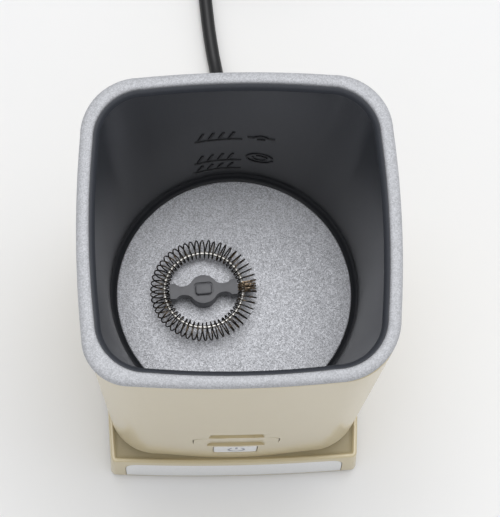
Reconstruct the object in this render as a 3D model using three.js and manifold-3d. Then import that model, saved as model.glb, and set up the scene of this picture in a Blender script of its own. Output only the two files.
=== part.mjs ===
// Milk frother: a jug with a magnetic whisk on a corded power base.
// Millimetres, +Z up, front towards -Y, origin on the table under the middle of the base.
import * as THREE from 'three';
import { mergeVertices } from 'three/addons/utils/BufferGeometryUtils.js';
import Module from 'manifold-3d';

const wasm = await Module();
wasm.setup();

// ---- driving dimensions ----
const GAP = 0.3;                       // clearance between touching pieces
const RIM_TOP = 170;                   // table to the top of the rim
const BODY_TOP = 166;                  // top edge of the outer body
const BODY_BOTTOM = 20;                // lower edge of the outer body
const BODY_WALL = 2.2;
const CHAMBER_DEPTH = 92.7;            // rim to floor disc
const FLOOR_TOP = RIM_TOP - CHAMBER_DEPTH;
const FLOOR_RADIUS = 42.5;
const CHAMBER_FOOT_RADIUS = 44.7;      // round lower end of the chamber wall
const WHISK_X = -11.1;                 // whisk axis, left of the middle
const WHISK_TURN = THREE.MathUtils.degToRad(4);
const RING_TILT = THREE.MathUtils.degToRad(-6);  // raises the coil's front
const BASE_BOTTOM = 1.2;
const BASE_TOP = 18.6;
const PAD_TOP = 19.4;                  // shallow pad that the jug stands on
const CORD_RADIUS = 2.7;
const CORD_EXIT_HEIGHT = 9;

// Plan outlines: half sizes, corner radii (back right, back left, front left, front right), side bulges.
const RIM = { x: 51.15, y: 51.38, radii: [19.6, 19.7, 15.7, 20.9], bulgeX: 1.47, bulgeY: 1.37 };
const MOUTH = { x: 46.96, y: 47.26, radii: [17, 17, 17, 17], bulgeX: 1.51, bulgeY: 1.54 };
const BODY_HEAD = { x: 50.6, y: 50.9, radii: [19, 19, 19, 19], bulgeX: 1.45, bulgeY: 1.4 };
const BODY_FOOT = { x: 47.3, y: 48.5, radii: [18, 18, 18, 18], bulgeX: 1.2, bulgeY: 1.5 };
const BASE_FOOT = { x: 47.7, y: 53.2, radii: [3.5, 3.5, 3.5, 3.5], bulgeX: 1.5, bulgeY: 1.4 };
const BASE_HEAD = { x: 47.0, y: 50.9, radii: [3.5, 3.5, 3.5, 3.5], bulgeX: 1.5, bulgeY: 1.4 };
const PAD = { x: 45.5, y: 47.9, radii: [21, 21, 21, 21], bulgeX: 1.3, bulgeY: 1.7 };

// Control panel and key on the jug's front wall
const PANEL_HALF = 15.6;
const PANEL_LOW = 24;
const PANEL_HIGH = 62;
const PANEL_ARCH = 2.4;                // rise of the panel's arched top edge
const KEY_HALF = 8.1;
const KEY_LOW = 30;
const KEY_HIGH = 44;

// ---- finishes ----
const finish = (color, roughness, metalness) =>
  new THREE.MeshStandardMaterial({ color, roughness, metalness });
const BEIGE = finish(0xc9bfa9, 0.25, 0);
const SILVER = finish(0xc2c3c6, 0.4, 0.6);
const CHARCOAL = finish(0x3a3c40, 0.4, 0);
const SPARKLE = finish(0xb4b6ba, 0.5, 0.5);
const DARK_PLASTIC = finish(0x4a4c50, 0.55, 0);
const BLACK_PLASTIC = finish(0x1d1e20, 0.5, 0);
const STEEL = finish(0xb8b9bb, 0.3, 1);
const BLACK_RUBBER = finish(0x18191b, 0.8, 0);
const BRASS = finish(0xb59a55, 0.35, 1);
const BOARD = finish(0x2f6b45, 0.6, 0);
const WHITE_PLASTIC = finish(0xdcdcd6, 0.5, 0);

// ---- shape helpers ----
const CORNER_STEPS = 6;
const SIDE_STEPS = 4;
const LINER_STEPS = 8;                 // finer, because the liner's foot is a true circle

// Rounded square with four corner radii and sides that bow outwards.
function outline({ x, y, radii, bulgeX, bulgeY }, sideSteps = SIDE_STEPS) {
  const signs = [[1, 1], [-1, 1], [-1, -1], [1, -1]];
  const outward = [[0, bulgeY], [-bulgeX, 0], [0, -bulgeY], [bulgeX, 0]];
  const corner = (q, part) => {
    const angle = (q + part) * Math.PI / 2;
    const [sx, sy] = signs[q % 4];
    const r = radii[q % 4];
    return new THREE.Vector2(sx * (x - r) + r * Math.cos(angle), sy * (y - r) + r * Math.sin(angle));
  };
  const points = [];
  for (let q = 0; q < 4; q++) {
    for (let i = 0; i <= CORNER_STEPS; i++) {
      points.push(corner(q, i / CORNER_STEPS));
    }
    const from = corner(q, 1);
    const to = corner(q + 1, 0);
    for (let i = 1; i < sideSteps; i++) {
      const t = i / sideSteps;
      const bow = 1 - (2 * t - 1) ** 2;
      const p = from.clone().lerp(to, t);
      points.push(p.add(new THREE.Vector2(outward[q][0] * bow, outward[q][1] * bow)));
    }
  }
  return points;
}

const inset = (spec, d) => ({
  ...spec, x: spec.x - d, y: spec.y - d, radii: spec.radii.map((r) => r - d),
});

const mixSpec = (a, b, t) => ({
  x: THREE.MathUtils.lerp(a.x, b.x, t),
  y: THREE.MathUtils.lerp(a.y, b.y, t),
  radii: a.radii.map((r, i) => THREE.MathUtils.lerp(r, b.radii[i], t)),
  bulgeX: THREE.MathUtils.lerp(a.bulgeX, b.bulgeX, t),
  bulgeY: THREE.MathUtils.lerp(a.bulgeY, b.bulgeY, t),
});

const ring = (spec, z, sideSteps) =>
  outline(spec, sideSteps).map((p) => new THREE.Vector3(p.x, p.y, z));

// Ring part way between an outline (t = 0) and a circle (t = 1), point by point.
function towardsCircle(spec, radius, t, z) {
  return outline(spec, LINER_STEPS).map((p) => {
    const round = p.clone().setLength(radius);
    const q = p.lerp(round, t);
    return new THREE.Vector3(q.x, q.y, z);
  });
}

// Closed body through rings of equal point count: a loop of rings, or capped at both ends.
function loft(rings, looped) {
  const count = rings[0].length;
  const positions = rings.flat().flatMap((p) => [p.x, p.y, p.z]);
  const index = [];
  const spans = looped ? rings.length : rings.length - 1;
  for (let k = 0; k < spans; k++) {
    const low = k * count;
    const high = ((k + 1) % rings.length) * count;
    for (let i = 0; i < count; i++) {
      const j = (i + 1) % count;
      index.push(low + i, low + j, high + j, low + i, high + j, high + i);
    }
  }
  if (!looped) {
    const cap = (ringIndex, flip) => {
      const centre = positions.length / 3;
      const middle = new THREE.Vector3();
      rings[ringIndex].forEach((p) => middle.add(p));
      middle.divideScalar(count);
      positions.push(middle.x, middle.y, middle.z);
      for (let i = 0; i < count; i++) {
        const a = ringIndex * count + i;
        const b = ringIndex * count + (i + 1) % count;
        index.push(centre, flip ? b : a, flip ? a : b);
      }
    };
    cap(0, true);
    cap(rings.length - 1, false);
  }
  const geometry = new THREE.BufferGeometry();
  geometry.setAttribute('position', new THREE.Float32BufferAttribute(positions, 3));
  geometry.setIndex(index);
  return geometry;
}

// Profile points [radius, z] turned about a vertical axis.
function turned(profile, segments = 24) {
  const points = profile.map(([r, z]) => new THREE.Vector2(r, z));
  return new THREE.LatheGeometry(points, segments).rotateX(Math.PI / 2);
}

// Tube wall or washer between two radii and two heights.
const turnedRing = (inner, outer, low, high, segments = 24) =>
  turned([[inner, low], [outer, low], [outer, high], [inner, high], [inner, low]], segments);

const rod = (radius, low, high, segments = 20) =>
  turned([[0, low], [radius, low], [radius, high], [0, high]], segments);

const block = (sx, sy, sz, x, y, z) => new THREE.BoxGeometry(sx, sy, sz).translate(x, y, z);

// Flat shape drawn in X and Z, pushed along Y from front to back.
function frontPrism(shape, front, back) {
  const depth = back - front;
  return new THREE.ExtrudeGeometry(shape, { depth, bevelEnabled: false, curveSegments: 5 })
    .rotateX(Math.PI / 2).translate(0, back, 0);
}

// Flat shape drawn in X and Y, raised from low to high.
const raised = (shape, low, high, curveSegments = 6) =>
  new THREE.ExtrudeGeometry(shape, { depth: high - low, bevelEnabled: false, curveSegments })
    .translate(0, 0, low);

function roundedRect(halfX, halfY, r) {
  const s = new THREE.Shape();
  s.moveTo(-halfX + r, -halfY);
  s.lineTo(halfX - r, -halfY);
  s.absarc(halfX - r, -halfY + r, r, -Math.PI / 2, 0);
  s.lineTo(halfX, halfY - r);
  s.absarc(halfX - r, halfY - r, r, 0, Math.PI / 2);
  s.lineTo(-halfX + r, halfY);
  s.absarc(-halfX + r, halfY - r, r, Math.PI / 2, Math.PI);
  s.lineTo(-halfX, -halfY + r);
  s.absarc(-halfX + r, -halfY + r, r, Math.PI, 1.5 * Math.PI);
  return s;
}

// ---- joins and cuts ----
function toSolid(geometry) {
  const bare = geometry.clone();
  bare.deleteAttribute('normal');
  bare.deleteAttribute('uv');
  const merged = mergeVertices(bare, 1e-4);
  return new wasm.Manifold(new wasm.Mesh({
    numProp: 3,
    vertProperties: new Float32Array(merged.attributes.position.array),
    triVerts: new Uint32Array(merged.index.array),
  }));
}

function toGeometry(solid) {
  const mesh = solid.getMesh();
  const geometry = new THREE.BufferGeometry();
  geometry.setAttribute('position', new THREE.BufferAttribute(new Float32Array(mesh.vertProperties), 3));
  geometry.setIndex(new THREE.BufferAttribute(new Uint32Array(mesh.triVerts), 1));
  return geometry;
}

const cut = (geometry, ...tools) =>
  toGeometry(tools.reduce((solid, tool) => solid.subtract(toSolid(tool)), toSolid(geometry)));
const join = (geometry, ...others) =>
  toGeometry(others.reduce((solid, other) => solid.add(toSolid(other)), toSolid(geometry)));
const common = (geometry, other) => toGeometry(toSolid(geometry).intersect(toSolid(other)));

// ---- assembly ----
const frother = new THREE.Group();
const jug = new THREE.Group();
const base = new THREE.Group();
frother.add(jug, base);

function add(parent, name, geometry, material) {
  const mesh = new THREE.Mesh(geometry, material);
  mesh.name = name;
  parent.add(mesh);
  return mesh;
}

// ---- jug: casing ----
const bodyAt = (z, depth = 0) => {
  const t = (z - BODY_BOTTOM) / (BODY_TOP - BODY_BOTTOM);
  return ring(inset(mixSpec(BODY_FOOT, BODY_HEAD, t), depth), z);
};

const casingBlank = () => loft([
  ring(inset(BODY_FOOT, 1.2), BODY_BOTTOM),
  bodyAt(BODY_BOTTOM + 1.2),
  bodyAt(BODY_TOP - 0.5),
  ring(inset(BODY_HEAD, 0.4), BODY_TOP),
  ring(inset(BODY_HEAD, BODY_WALL), BODY_TOP),
  ring(inset(BODY_FOOT, BODY_WALL), BODY_BOTTOM),
], true);

// Panel outline in X and Z: straight sides, rounded shoulders and an arched top.
function panelShape(grow) {
  const half = PANEL_HALF + grow;
  const low = PANEL_LOW - grow;
  const high = PANEL_HIGH + grow;
  const s = new THREE.Shape();
  s.moveTo(-half, low);
  s.lineTo(half, low);
  s.lineTo(half, high - 4);
  s.quadraticCurveTo(half, high, half - 5, high + 0.6);
  s.quadraticCurveTo(0, high + 2 * PANEL_ARCH, -half + 5, high + 0.6);
  s.quadraticCurveTo(-half, high, -half, high - 4);
  s.closePath();
  return s;
}

const FRONT_FAR = -60;
const FRONT_NEAR = -40;
const SCOOP_DEPTH = 1.3;               // depth of the two finger scoops over the panel and the key

// A scoop is a channel in the front wall, deeper at its lower edge.
function scoop(half, low, high) {
  const s = new THREE.Shape();
  s.moveTo(-half, low);
  s.lineTo(half, low);
  s.lineTo(half - 1, high);
  s.lineTo(-half + 1, high);
  s.closePath();
  return frontPrism(s, FRONT_FAR, -50.3 - (high - 46) * 0.018 + SCOOP_DEPTH);
}

const outerBody = () => cut(casingBlank(), frontPrism(panelShape(GAP), FRONT_FAR, FRONT_NEAR),
  scoop(10.6, 66.4, 72));
add(jug, 'outer_body', outerBody(), BEIGE);

const KEY_CORNER = 1.2;
const keyShape = (grow) =>
  roundedRect(KEY_HALF + grow, (KEY_HIGH - KEY_LOW) / 2 + grow, KEY_CORNER + grow);
const keyPrism = (grow, front, back) =>
  frontPrism(keyShape(grow), front, back).translate(0, 0, (KEY_LOW + KEY_HIGH) / 2);

const controlPanel = () => cut(common(casingBlank(), frontPrism(panelShape(0), FRONT_FAR, FRONT_NEAR)),
  keyPrism(GAP, FRONT_FAR, FRONT_NEAR), scoop(11, 47, 55));
add(jug, 'control_panel', controlPanel(), BEIGE);

// The key's face follows the front wall; a stem behind it reaches towards the switch.
const KEY_STEM_END = -45;
const KEY_HEIGHT = (KEY_LOW + KEY_HIGH) / 2;
function powerKey() {
  const wall = loft([bodyAt(BODY_BOTTOM + 1.2, 0.15), bodyAt(BODY_TOP - 0.5, 0.15)], false);
  const face = common(wall, keyPrism(0, FRONT_FAR, -46.9));
  const stem = new THREE.CylinderGeometry(1.6, 1.6, 2.4, 16).translate(0, KEY_STEM_END - 1.2, KEY_HEIGHT);
  return join(face, stem);
}
add(jug, 'power_key', powerKey(), SILVER);

// ---- jug: rim and chamber ----
const rimBezel = () => loft([
  ring(inset(RIM, 0.7), BODY_TOP + 0.4),
  ring(RIM, RIM_TOP - 2.2),
  ring(inset(RIM, 0.4), RIM_TOP - 0.6),
  ring(inset(RIM, 1.2), RIM_TOP),
  ring(inset(MOUTH, -0.5), RIM_TOP),
  ring(MOUTH, RIM_TOP - 0.6),
  ring(MOUTH, BODY_TOP + 0.4),
], true);
add(jug, 'rim_bezel', rimBezel(), SILVER);

const LEDGE = 1.9;                     // width of the dark ledge inside the rim
const CHAMBER_HEAD = inset(MOUTH, LEDGE);
const lipSeal = () => loft([
  ring(inset(MOUTH, GAP), BODY_TOP + 0.4),
  ring(inset(MOUTH, GAP), RIM_TOP - 1.5),
  ring(CHAMBER_HEAD, RIM_TOP - 1.5),
  ring(CHAMBER_HEAD, BODY_TOP + 0.4),
], true);
add(jug, 'lip_seal', lipSeal(), CHARCOAL);

const LINER_WALL = 1.7;
const WALL_FOOT = FLOOR_TOP + 3;
const LEDGE_LOW = FLOOR_TOP - 5.4;
const LEDGE_HIGH = FLOOR_TOP - 3.4;
const chamberLiner = () => loft([
  ring(CHAMBER_HEAD, BODY_TOP + 0.1, LINER_STEPS),
  towardsCircle(CHAMBER_HEAD, CHAMBER_FOOT_RADIUS, 0.5, (BODY_TOP + WALL_FOOT) / 2),
  towardsCircle(CHAMBER_HEAD, CHAMBER_FOOT_RADIUS, 1, WALL_FOOT),
  towardsCircle(CHAMBER_HEAD, CHAMBER_FOOT_RADIUS, 1, LEDGE_HIGH),
  towardsCircle(CHAMBER_HEAD, 37.5, 1, LEDGE_HIGH),
  towardsCircle(CHAMBER_HEAD, 37.5, 1, LEDGE_LOW),
  towardsCircle(CHAMBER_HEAD, CHAMBER_FOOT_RADIUS + LINER_WALL, 1, LEDGE_LOW),
  towardsCircle(CHAMBER_HEAD, CHAMBER_FOOT_RADIUS + LINER_WALL, 1, WALL_FOOT),
  ring(inset(CHAMBER_HEAD, -LINER_WALL), BODY_TOP - 4, LINER_STEPS),
  ring(inset(CHAMBER_HEAD, -LINER_WALL), BODY_TOP - 1.6, LINER_STEPS),
  ring(inset(BODY_HEAD, BODY_WALL + GAP + 0.1), BODY_TOP - 1.6, LINER_STEPS),
  ring(inset(BODY_HEAD, BODY_WALL + GAP + 0.1), BODY_TOP + 0.1, LINER_STEPS),
], true);
add(jug, 'chamber_liner', chamberLiner(), CHARCOAL);

const floorDisc = () => turned([
  [0, FLOOR_TOP - 2], [FLOOR_RADIUS, FLOOR_TOP - 2], [FLOOR_RADIUS, FLOOR_TOP - 0.4],
  [FLOOR_RADIUS - 0.4, FLOOR_TOP], [0, FLOOR_TOP],
], 48);
add(jug, 'floor_disc', floorDisc(), SPARKLE);

const floorSeal = () => turned([
  [38.5, LEDGE_HIGH + GAP], [CHAMBER_FOOT_RADIUS - GAP, LEDGE_HIGH + GAP],
  [CHAMBER_FOOT_RADIUS - GAP, FLOOR_TOP + 1], [FLOOR_RADIUS + GAP, FLOOR_TOP + 0.2],
  [FLOOR_RADIUS + GAP, FLOOR_TOP - 2 - GAP], [38.5, FLOOR_TOP - 2 - GAP], [38.5, LEDGE_HIGH + GAP],
], 48);
add(jug, 'floor_seal', floorSeal(), BLACK_RUBBER);

// ---- jug: whisk on its spindle ----
const whiskSeat = new THREE.Group();
whiskSeat.position.set(WHISK_X, 0, FLOOR_TOP);
jug.add(whiskSeat);
const PIN_RADIUS = 1.4;
const spindlePin = () => turned([
  [0, GAP], [2.3, GAP], [2.3, 0.7], [PIN_RADIUS, 1], [PIN_RADIUS, 6.6], [1, 7], [0, 7],
], 24);
add(whiskSeat, 'spindle_pin', spindlePin(), STEEL);
add(whiskSeat, 'whisk_bearing', turnedRing(PIN_RADIUS + GAP, 2.4, 1.2, 7.2, 24), BRASS);

const whisk = new THREE.Group();
whisk.rotation.z = WHISK_TURN;
whiskSeat.add(whisk);
const HUB_RADIUS = 5.15;
const HUB_LOW = 0.6;
const HUB_HIGH = 8.4;
const ARM_LOW = 2.2;
const ARM_HIGH = 8;
const RING_HEIGHT = 6.5;               // core ring above the floor disc
const RING_RADIUS = 14.1;
const RING_WIRE = 0.62;
const COIL_INNER = 15.25;
const COIL_OUTER = 19.05;
const COIL_HALF_HEIGHT = 2.6;

// Both arms in one outline: narrow necks that widen to paddles at the core ring.
function armShape() {
  const neck = 1.6;
  const paddle = 2.7;
  const end = 14.9;
  const s = new THREE.Shape();
  s.moveTo(0, -neck);
  s.lineTo(9, -neck);
  s.quadraticCurveTo(10.5, -neck, 11, -paddle);
  s.lineTo(end, -paddle);
  s.lineTo(end, paddle);
  s.lineTo(11, paddle);
  s.quadraticCurveTo(10.5, neck, 9, neck);
  s.lineTo(-9, neck);
  s.quadraticCurveTo(-10.5, neck, -11, paddle);
  s.lineTo(-end, paddle);
  s.lineTo(-end, -paddle);
  s.lineTo(-11, -paddle);
  s.quadraticCurveTo(-10.5, -neck, -9, -neck);
  s.closePath();
  return s;
}

// Ring lying about the hub, tipped about the arms.
function tipped(geometry) {
  return geometry.rotateX(RING_TILT).translate(0, 0, RING_HEIGHT);
}

const coreRing = (wire, segments) =>
  tipped(new THREE.TorusGeometry(RING_RADIUS, wire, 6, segments));

function whiskHub() {
  const drum = turned([
    [0, HUB_LOW], [HUB_RADIUS, HUB_LOW], [HUB_RADIUS, HUB_HIGH - 0.3], [HUB_RADIUS - 0.3, HUB_HIGH],
    [0, HUB_HIGH],
  ], 32);
  const boss = raised(roundedRect(2.95, 2, 0.8), HUB_HIGH - 0.5, HUB_HIGH + 0.6);
  const bore = rod(2.4 + GAP, 0, 7.6, 24);
  const magnetPocket = rod(4.8, 0, 4.4, 24);
  return cut(join(drum, raised(armShape(), ARM_LOW, ARM_HIGH), boss), bore, magnetPocket,
    coreRing(RING_WIRE + GAP, 40));
}
add(whisk, 'whisk_hub', whiskHub(), DARK_PLASTIC);
add(whisk, 'whisk_magnet', turnedRing(3, 4.5, 0.9, 4, 24), STEEL);
add(whisk, 'whisk_core_ring', coreRing(RING_WIRE, 40), STEEL);

// Envelope of the fine wire coil that is wound round the core ring.
function whiskCoil() {
  const middle = (COIL_INNER + COIL_OUTER) / 2;
  const half = (COIL_OUTER - COIL_INNER) / 2;
  const profile = [];
  for (let i = 0; i <= 8; i++) {
    const a = i / 8 * 2 * Math.PI;
    profile.push([middle + half * Math.cos(a), COIL_HALF_HEIGHT * Math.sin(a)]);
  }
  return tipped(turned(profile, 36));
}
add(whisk, 'whisk_coil', whiskCoil(), STEEL);

// ---- jug: drive under the floor ----
const drive = new THREE.Group();
drive.position.set(WHISK_X, 0, 0);
jug.add(drive);
const ROTOR_RADIUS = 13.5;
const ROTOR_LOW = 67.5;
const SHAFT_RADIUS = 1.15;
const driveRotor = () => turned([
  [SHAFT_RADIUS + GAP, ROTOR_LOW - 2.6], [3.5, ROTOR_LOW - 2.6], [3.5, ROTOR_LOW],
  [ROTOR_RADIUS, ROTOR_LOW], [ROTOR_RADIUS, ROTOR_LOW + 3], [SHAFT_RADIUS + GAP, ROTOR_LOW + 3],
  [SHAFT_RADIUS + GAP, ROTOR_LOW - 2.6],
], 40);
add(drive, 'drive_rotor', driveRotor(), WHITE_PLASTIC);
[1, -1].forEach((side, i) => {
  const magnet = add(drive, `drive_magnet_${i + 1}`, rod(3.5, ROTOR_LOW + 3.3, ROTOR_LOW + 6.3, 20), STEEL);
  magnet.position.x = side * 7.6;
});
add(drive, 'motor_shaft', rod(SHAFT_RADIUS, 46, ROTOR_LOW + 2.8, 16), STEEL);

const MOTOR_TOP = 61.5;
const motorCan = () => cut(turned([
  [0, 38], [12, 38], [12, MOTOR_TOP - 1], [11, MOTOR_TOP], [3.2, MOTOR_TOP], [3.2, MOTOR_TOP + 1.6],
  [0, MOTOR_TOP + 1.6],
]), rod(SHAFT_RADIUS + GAP, 44, MOTOR_TOP + 5, 16));
add(drive, 'motor', motorCan(), STEEL);

// Bracket plate on three posts under the liner's ledge, open for the motor boss and the wires.
const BRACKET_LOW = MOTOR_TOP + GAP;
const BRACKET_THICK = 2;
function motorBracket() {
  const plate = rod(43.5, BRACKET_LOW, BRACKET_LOW + BRACKET_THICK, 40);
  const posts = [90, 210, 330].map((deg) => {
    const a = THREE.MathUtils.degToRad(deg);
    return rod(2.4, BRACKET_LOW + 1, LEDGE_LOW - GAP, 12)
      .translate(40.4 * Math.cos(a), 40.4 * Math.sin(a), 0);
  });
  const bossHole = rod(3.2 + GAP, 50, 80, 16).translate(WHISK_X, 0, 0);
  const wireHoles = [30, 150, 270].map((deg) => {
    const a = THREE.MathUtils.degToRad(deg);
    return rod(7, 50, 80, 16).translate(31 * Math.cos(a), 31 * Math.sin(a), 0);
  });
  return cut(join(plate, ...posts), bossHole, ...wireHoles);
}
add(jug, 'motor_bracket', motorBracket(), WHITE_PLASTIC);

// Heating element: an open ring pressed under the floor disc, with two terminal posts.
const HEATER_TOP = FLOOR_TOP - 2 - GAP;
function heaterRing() {
  const s = new THREE.Shape();
  const open = THREE.MathUtils.degToRad(30);
  s.absarc(0, 0, 34.5, open, 2 * Math.PI - open);
  s.absarc(0, 0, 28.5, 2 * Math.PI - open, open, true);
  s.closePath();
  const body = raised(s, HEATER_TOP - 4.5, HEATER_TOP, 24);
  const posts = [40, -40].map((deg) => {
    const a = THREE.MathUtils.degToRad(deg);
    return rod(1.5, HEATER_TOP - 8, HEATER_TOP - 4, 10).translate(31.5 * Math.cos(a), 31.5 * Math.sin(a), 0);
  });
  return join(body, ...posts);
}
add(jug, 'heater_ring', heaterRing(), STEEL);
const heaterClamp = () => cut(
  turnedRing(26.2, 36.2, HEATER_TOP - 6.6, HEATER_TOP - 4.8, 36),
  ...[40, -40, 0].map((deg) => {
    const a = THREE.MathUtils.degToRad(deg);
    return rod(deg ? 3 : 6.5, 40, 90, 12).translate(31.5 * Math.cos(a), 31.5 * Math.sin(a), 0);
  }),
);
add(jug, 'heater_clamp', heaterClamp(), STEEL);
const sensor = add(jug, 'temperature_sensor', turned([
  [0, BRACKET_LOW + BRACKET_THICK + GAP], [2, BRACKET_LOW + BRACKET_THICK + GAP],
  [2, HEATER_TOP - 4], [3, HEATER_TOP - 3], [3, HEATER_TOP], [0, HEATER_TOP],
], 16), BRASS);
sensor.position.set(14, 14, 0);
const fuse = add(jug, 'thermal_fuse', new THREE.CylinderGeometry(2, 2, 11, 14), WHITE_PLASTIC);
fuse.position.set(14, -14, BRACKET_LOW + BRACKET_THICK + GAP + 2.2);

// ---- jug: electronics behind the panel ----
const BOARD_FRONT = -40.9;
add(jug, 'circuit_board', block(42, 1.6, 32, 0, BOARD_FRONT + 0.8, 42), BOARD);
function tactSwitch() {
  const box = block(6.2, 1.9, 6.2, 0, BOARD_FRONT - GAP - 0.95, KEY_HEIGHT);
  const button = new THREE.CylinderGeometry(1.7, 1.7, 0.8, 16).translate(0, BOARD_FRONT - 2.4, KEY_HEIGHT);
  return join(box, button);
}
add(jug, 'tact_switch', tactSwitch(), BLACK_PLASTIC);
add(jug, 'relay', block(15, 10, 12, 12, BOARD_FRONT + 1.6 + GAP + 5, 46), WHITE_PLASTIC);

// ---- jug: bottom ----
const COVER_LOW = BODY_BOTTOM + 0.4;
const COVER_HIGH = COVER_LOW + 2.4;
const SOCKET_RADIUS = 12.5;
const SCREW_SPOTS = [90, 210, 330].map((deg) => {
  const a = THREE.MathUtils.degToRad(deg);
  return [33 * Math.cos(a), 33 * Math.sin(a)];
});
function jugCover() {
  const edge = inset(BODY_FOOT, BODY_WALL + GAP + 0.2);
  const plate = loft([ring(edge, COVER_LOW), ring(edge, COVER_HIGH)], false);
  const screwHoles = SCREW_SPOTS.map(([x, y]) => join(
    rod(1.7 + GAP, 10, 30, 12), rod(3 + GAP, 10, COVER_LOW + 1.3, 16),
  ).translate(x, y, 0));
  return cut(plate, rod(SOCKET_RADIUS + GAP, 10, 30, 32), ...screwHoles);
}
add(jug, 'jug_bottom_cover', jugCover(), BLACK_PLASTIC);

// Socket that drops over the base's connector column.
const CONNECTOR_RADIUS = 7;
const jugSocket = () => turned([
  [CONNECTOR_RADIUS + 0.6, COVER_LOW], [SOCKET_RADIUS, COVER_LOW], [SOCKET_RADIUS, COVER_HIGH],
  [15, COVER_HIGH + GAP], [15, COVER_HIGH + 2], [SOCKET_RADIUS, COVER_HIGH + 2], [SOCKET_RADIUS, 34],
  [0, 34], [0, 31.6], [CONNECTOR_RADIUS + 0.6, 31.6], [CONNECTOR_RADIUS + 0.6, COVER_LOW],
], 32);
add(jug, 'jug_socket', jugSocket(), BLACK_PLASTIC);

// Countersunk-flat screw with a cross slot, head facing down.
function screw(headRadius, headHeight, shankRadius, length) {
  const body = turned([
    [0, 0], [headRadius, 0], [headRadius, headHeight], [shankRadius, headHeight],
    [shankRadius, length], [0, length],
  ], 12);
  const slot = block(headRadius * 1.3, 0.7, 0.8, 0, 0, 0);
  return cut(body, slot, slot.clone().rotateZ(Math.PI / 2));
}
SCREW_SPOTS.forEach(([x, y], i) => {
  const piece = add(jug, `cover_screw_${i + 1}`, screw(2.9, 1, 1.6, 8), STEEL);
  piece.position.set(x, y, COVER_LOW + GAP);
});

// ---- base: shell ----
const BASE_WALL = 2.4;
const PLATE_HALF = 41.6;
const PLATE_LOW = 1.9;
const PLATE_HIGH = 15.2;
const PLATE_THICK = 0.9;
const baseAt = (z, depth = 0) => {
  const t = (z - BASE_BOTTOM) / (BASE_TOP - BASE_BOTTOM);
  return ring(inset(mixSpec(BASE_FOOT, BASE_HEAD, t), depth), z);
};

function plateShape(grow) {
  const half = PLATE_HALF + grow;
  const r = 4;
  const s = new THREE.Shape();
  s.moveTo(-half, PLATE_LOW - grow);
  s.lineTo(half, PLATE_LOW - grow);
  s.lineTo(half, PLATE_HIGH + grow - r);
  s.quadraticCurveTo(half, PLATE_HIGH + grow, half - r, PLATE_HIGH + grow);
  s.lineTo(-half + r, PLATE_HIGH + grow);
  s.quadraticCurveTo(-half, PLATE_HIGH + grow, -half, PLATE_HIGH + grow - r);
  s.closePath();
  return s;
}

// A slab that follows the base's leaning, bowed front wall, between two depths below its surface.
const wallLayer = (shallow, deep) => cut(
  loft([baseAt(BASE_BOTTOM - 0.8, shallow), baseAt(BASE_TOP, shallow)], false),
  loft([baseAt(BASE_BOTTOM - 2, deep), baseAt(BASE_TOP + 1, deep)], false),
);

const RELIEF_RADIUS = 4.6;             // strain relief where it passes the wall
function baseShell() {
  const outside = loft([
    baseAt(BASE_BOTTOM), baseAt(BASE_TOP - 1), ring(inset(BASE_HEAD, 0.3), BASE_TOP - 0.3),
    ring(inset(BASE_HEAD, 1), BASE_TOP), ring(inset(PAD, -0.2), BASE_TOP), ring(PAD, PAD_TOP),
  ], false);
  const hollow = loft([
    ring(inset(BASE_FOOT, BASE_WALL), BASE_BOTTOM - 1),
    ring(inset(BASE_HEAD, BASE_WALL + 0.6), BASE_TOP - 2.4),
  ], false);
  const plateBed = common(wallLayer(-1, PLATE_THICK + GAP), frontPrism(plateShape(GAP), -60, -40));
  const cordHole = new THREE.CylinderGeometry(RELIEF_RADIUS + GAP, RELIEF_RADIUS + GAP, 20, 20)
    .translate(0, 54, CORD_EXIT_HEIGHT);
  return cut(outside, hollow, rod(CONNECTOR_RADIUS + GAP, 5, 30, 32), plateBed, cordHole);
}
add(base, 'base_shell', baseShell(), BEIGE);

const frontPlate = () =>
  common(wallLayer(0.05, PLATE_THICK), frontPrism(plateShape(0), -60, -40));
add(base, 'front_plate', frontPlate(), SILVER);

// Connector column: flange under the shell's top, contact rings at its head.
const baseConnector = () => turned([
  [0, 10], [11, 10], [11, BASE_TOP - 2.4 - GAP], [CONNECTOR_RADIUS, BASE_TOP - 2.4 - GAP],
  [CONNECTOR_RADIUS, 25], [6.2, 25.4], [6.2, 27], [5.4, 27.4], [5.4, 30.4], [4.6, 31], [0, 31],
], 32);
add(base, 'base_connector', baseConnector(), BLACK_PLASTIC);

const FOOT_SPOTS = [[-37, -42], [37, -42], [37, 42], [-37, 42]];
const BASE_SCREWS = [[0, -40], [-39, 0], [39, 0]];
const PLATE_TOP = BASE_BOTTOM + 2.2;
function basePlate() {
  const edge = inset(BASE_FOOT, BASE_WALL + GAP + 0.3);
  const plate = loft([ring(edge, BASE_BOTTOM + 0.1), ring(edge, PLATE_TOP)], false);
  const feet = FOOT_SPOTS.map(([x, y]) => rod(6 + GAP, 0, BASE_BOTTOM + 0.9, 20).translate(x, y, 0));
  const holes = BASE_SCREWS.map(([x, y]) => join(
    rod(1.6 + GAP, 0, 10, 12), rod(2.9 + GAP, 0, BASE_BOTTOM + 1.2, 14),
  ).translate(x, y, 0));
  return cut(plate, ...feet, ...holes);
}
add(base, 'base_bottom_plate', basePlate(), BLACK_PLASTIC);

FOOT_SPOTS.forEach(([x, y], i) => {
  const foot = turned([[0, 0], [5.4, 0], [6, 0.5], [6, BASE_BOTTOM + 0.6], [0, BASE_BOTTOM + 0.6]], 20);
  add(base, `rubber_foot_${i + 1}`, foot, BLACK_RUBBER).position.set(x, y, 0);
});
BASE_SCREWS.forEach(([x, y], i) => {
  const piece = add(base, `base_screw_${i + 1}`, screw(2.7, 0.9, 1.5, 8), STEEL);
  piece.position.set(x, y, BASE_BOTTOM + 0.3);
});

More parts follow.
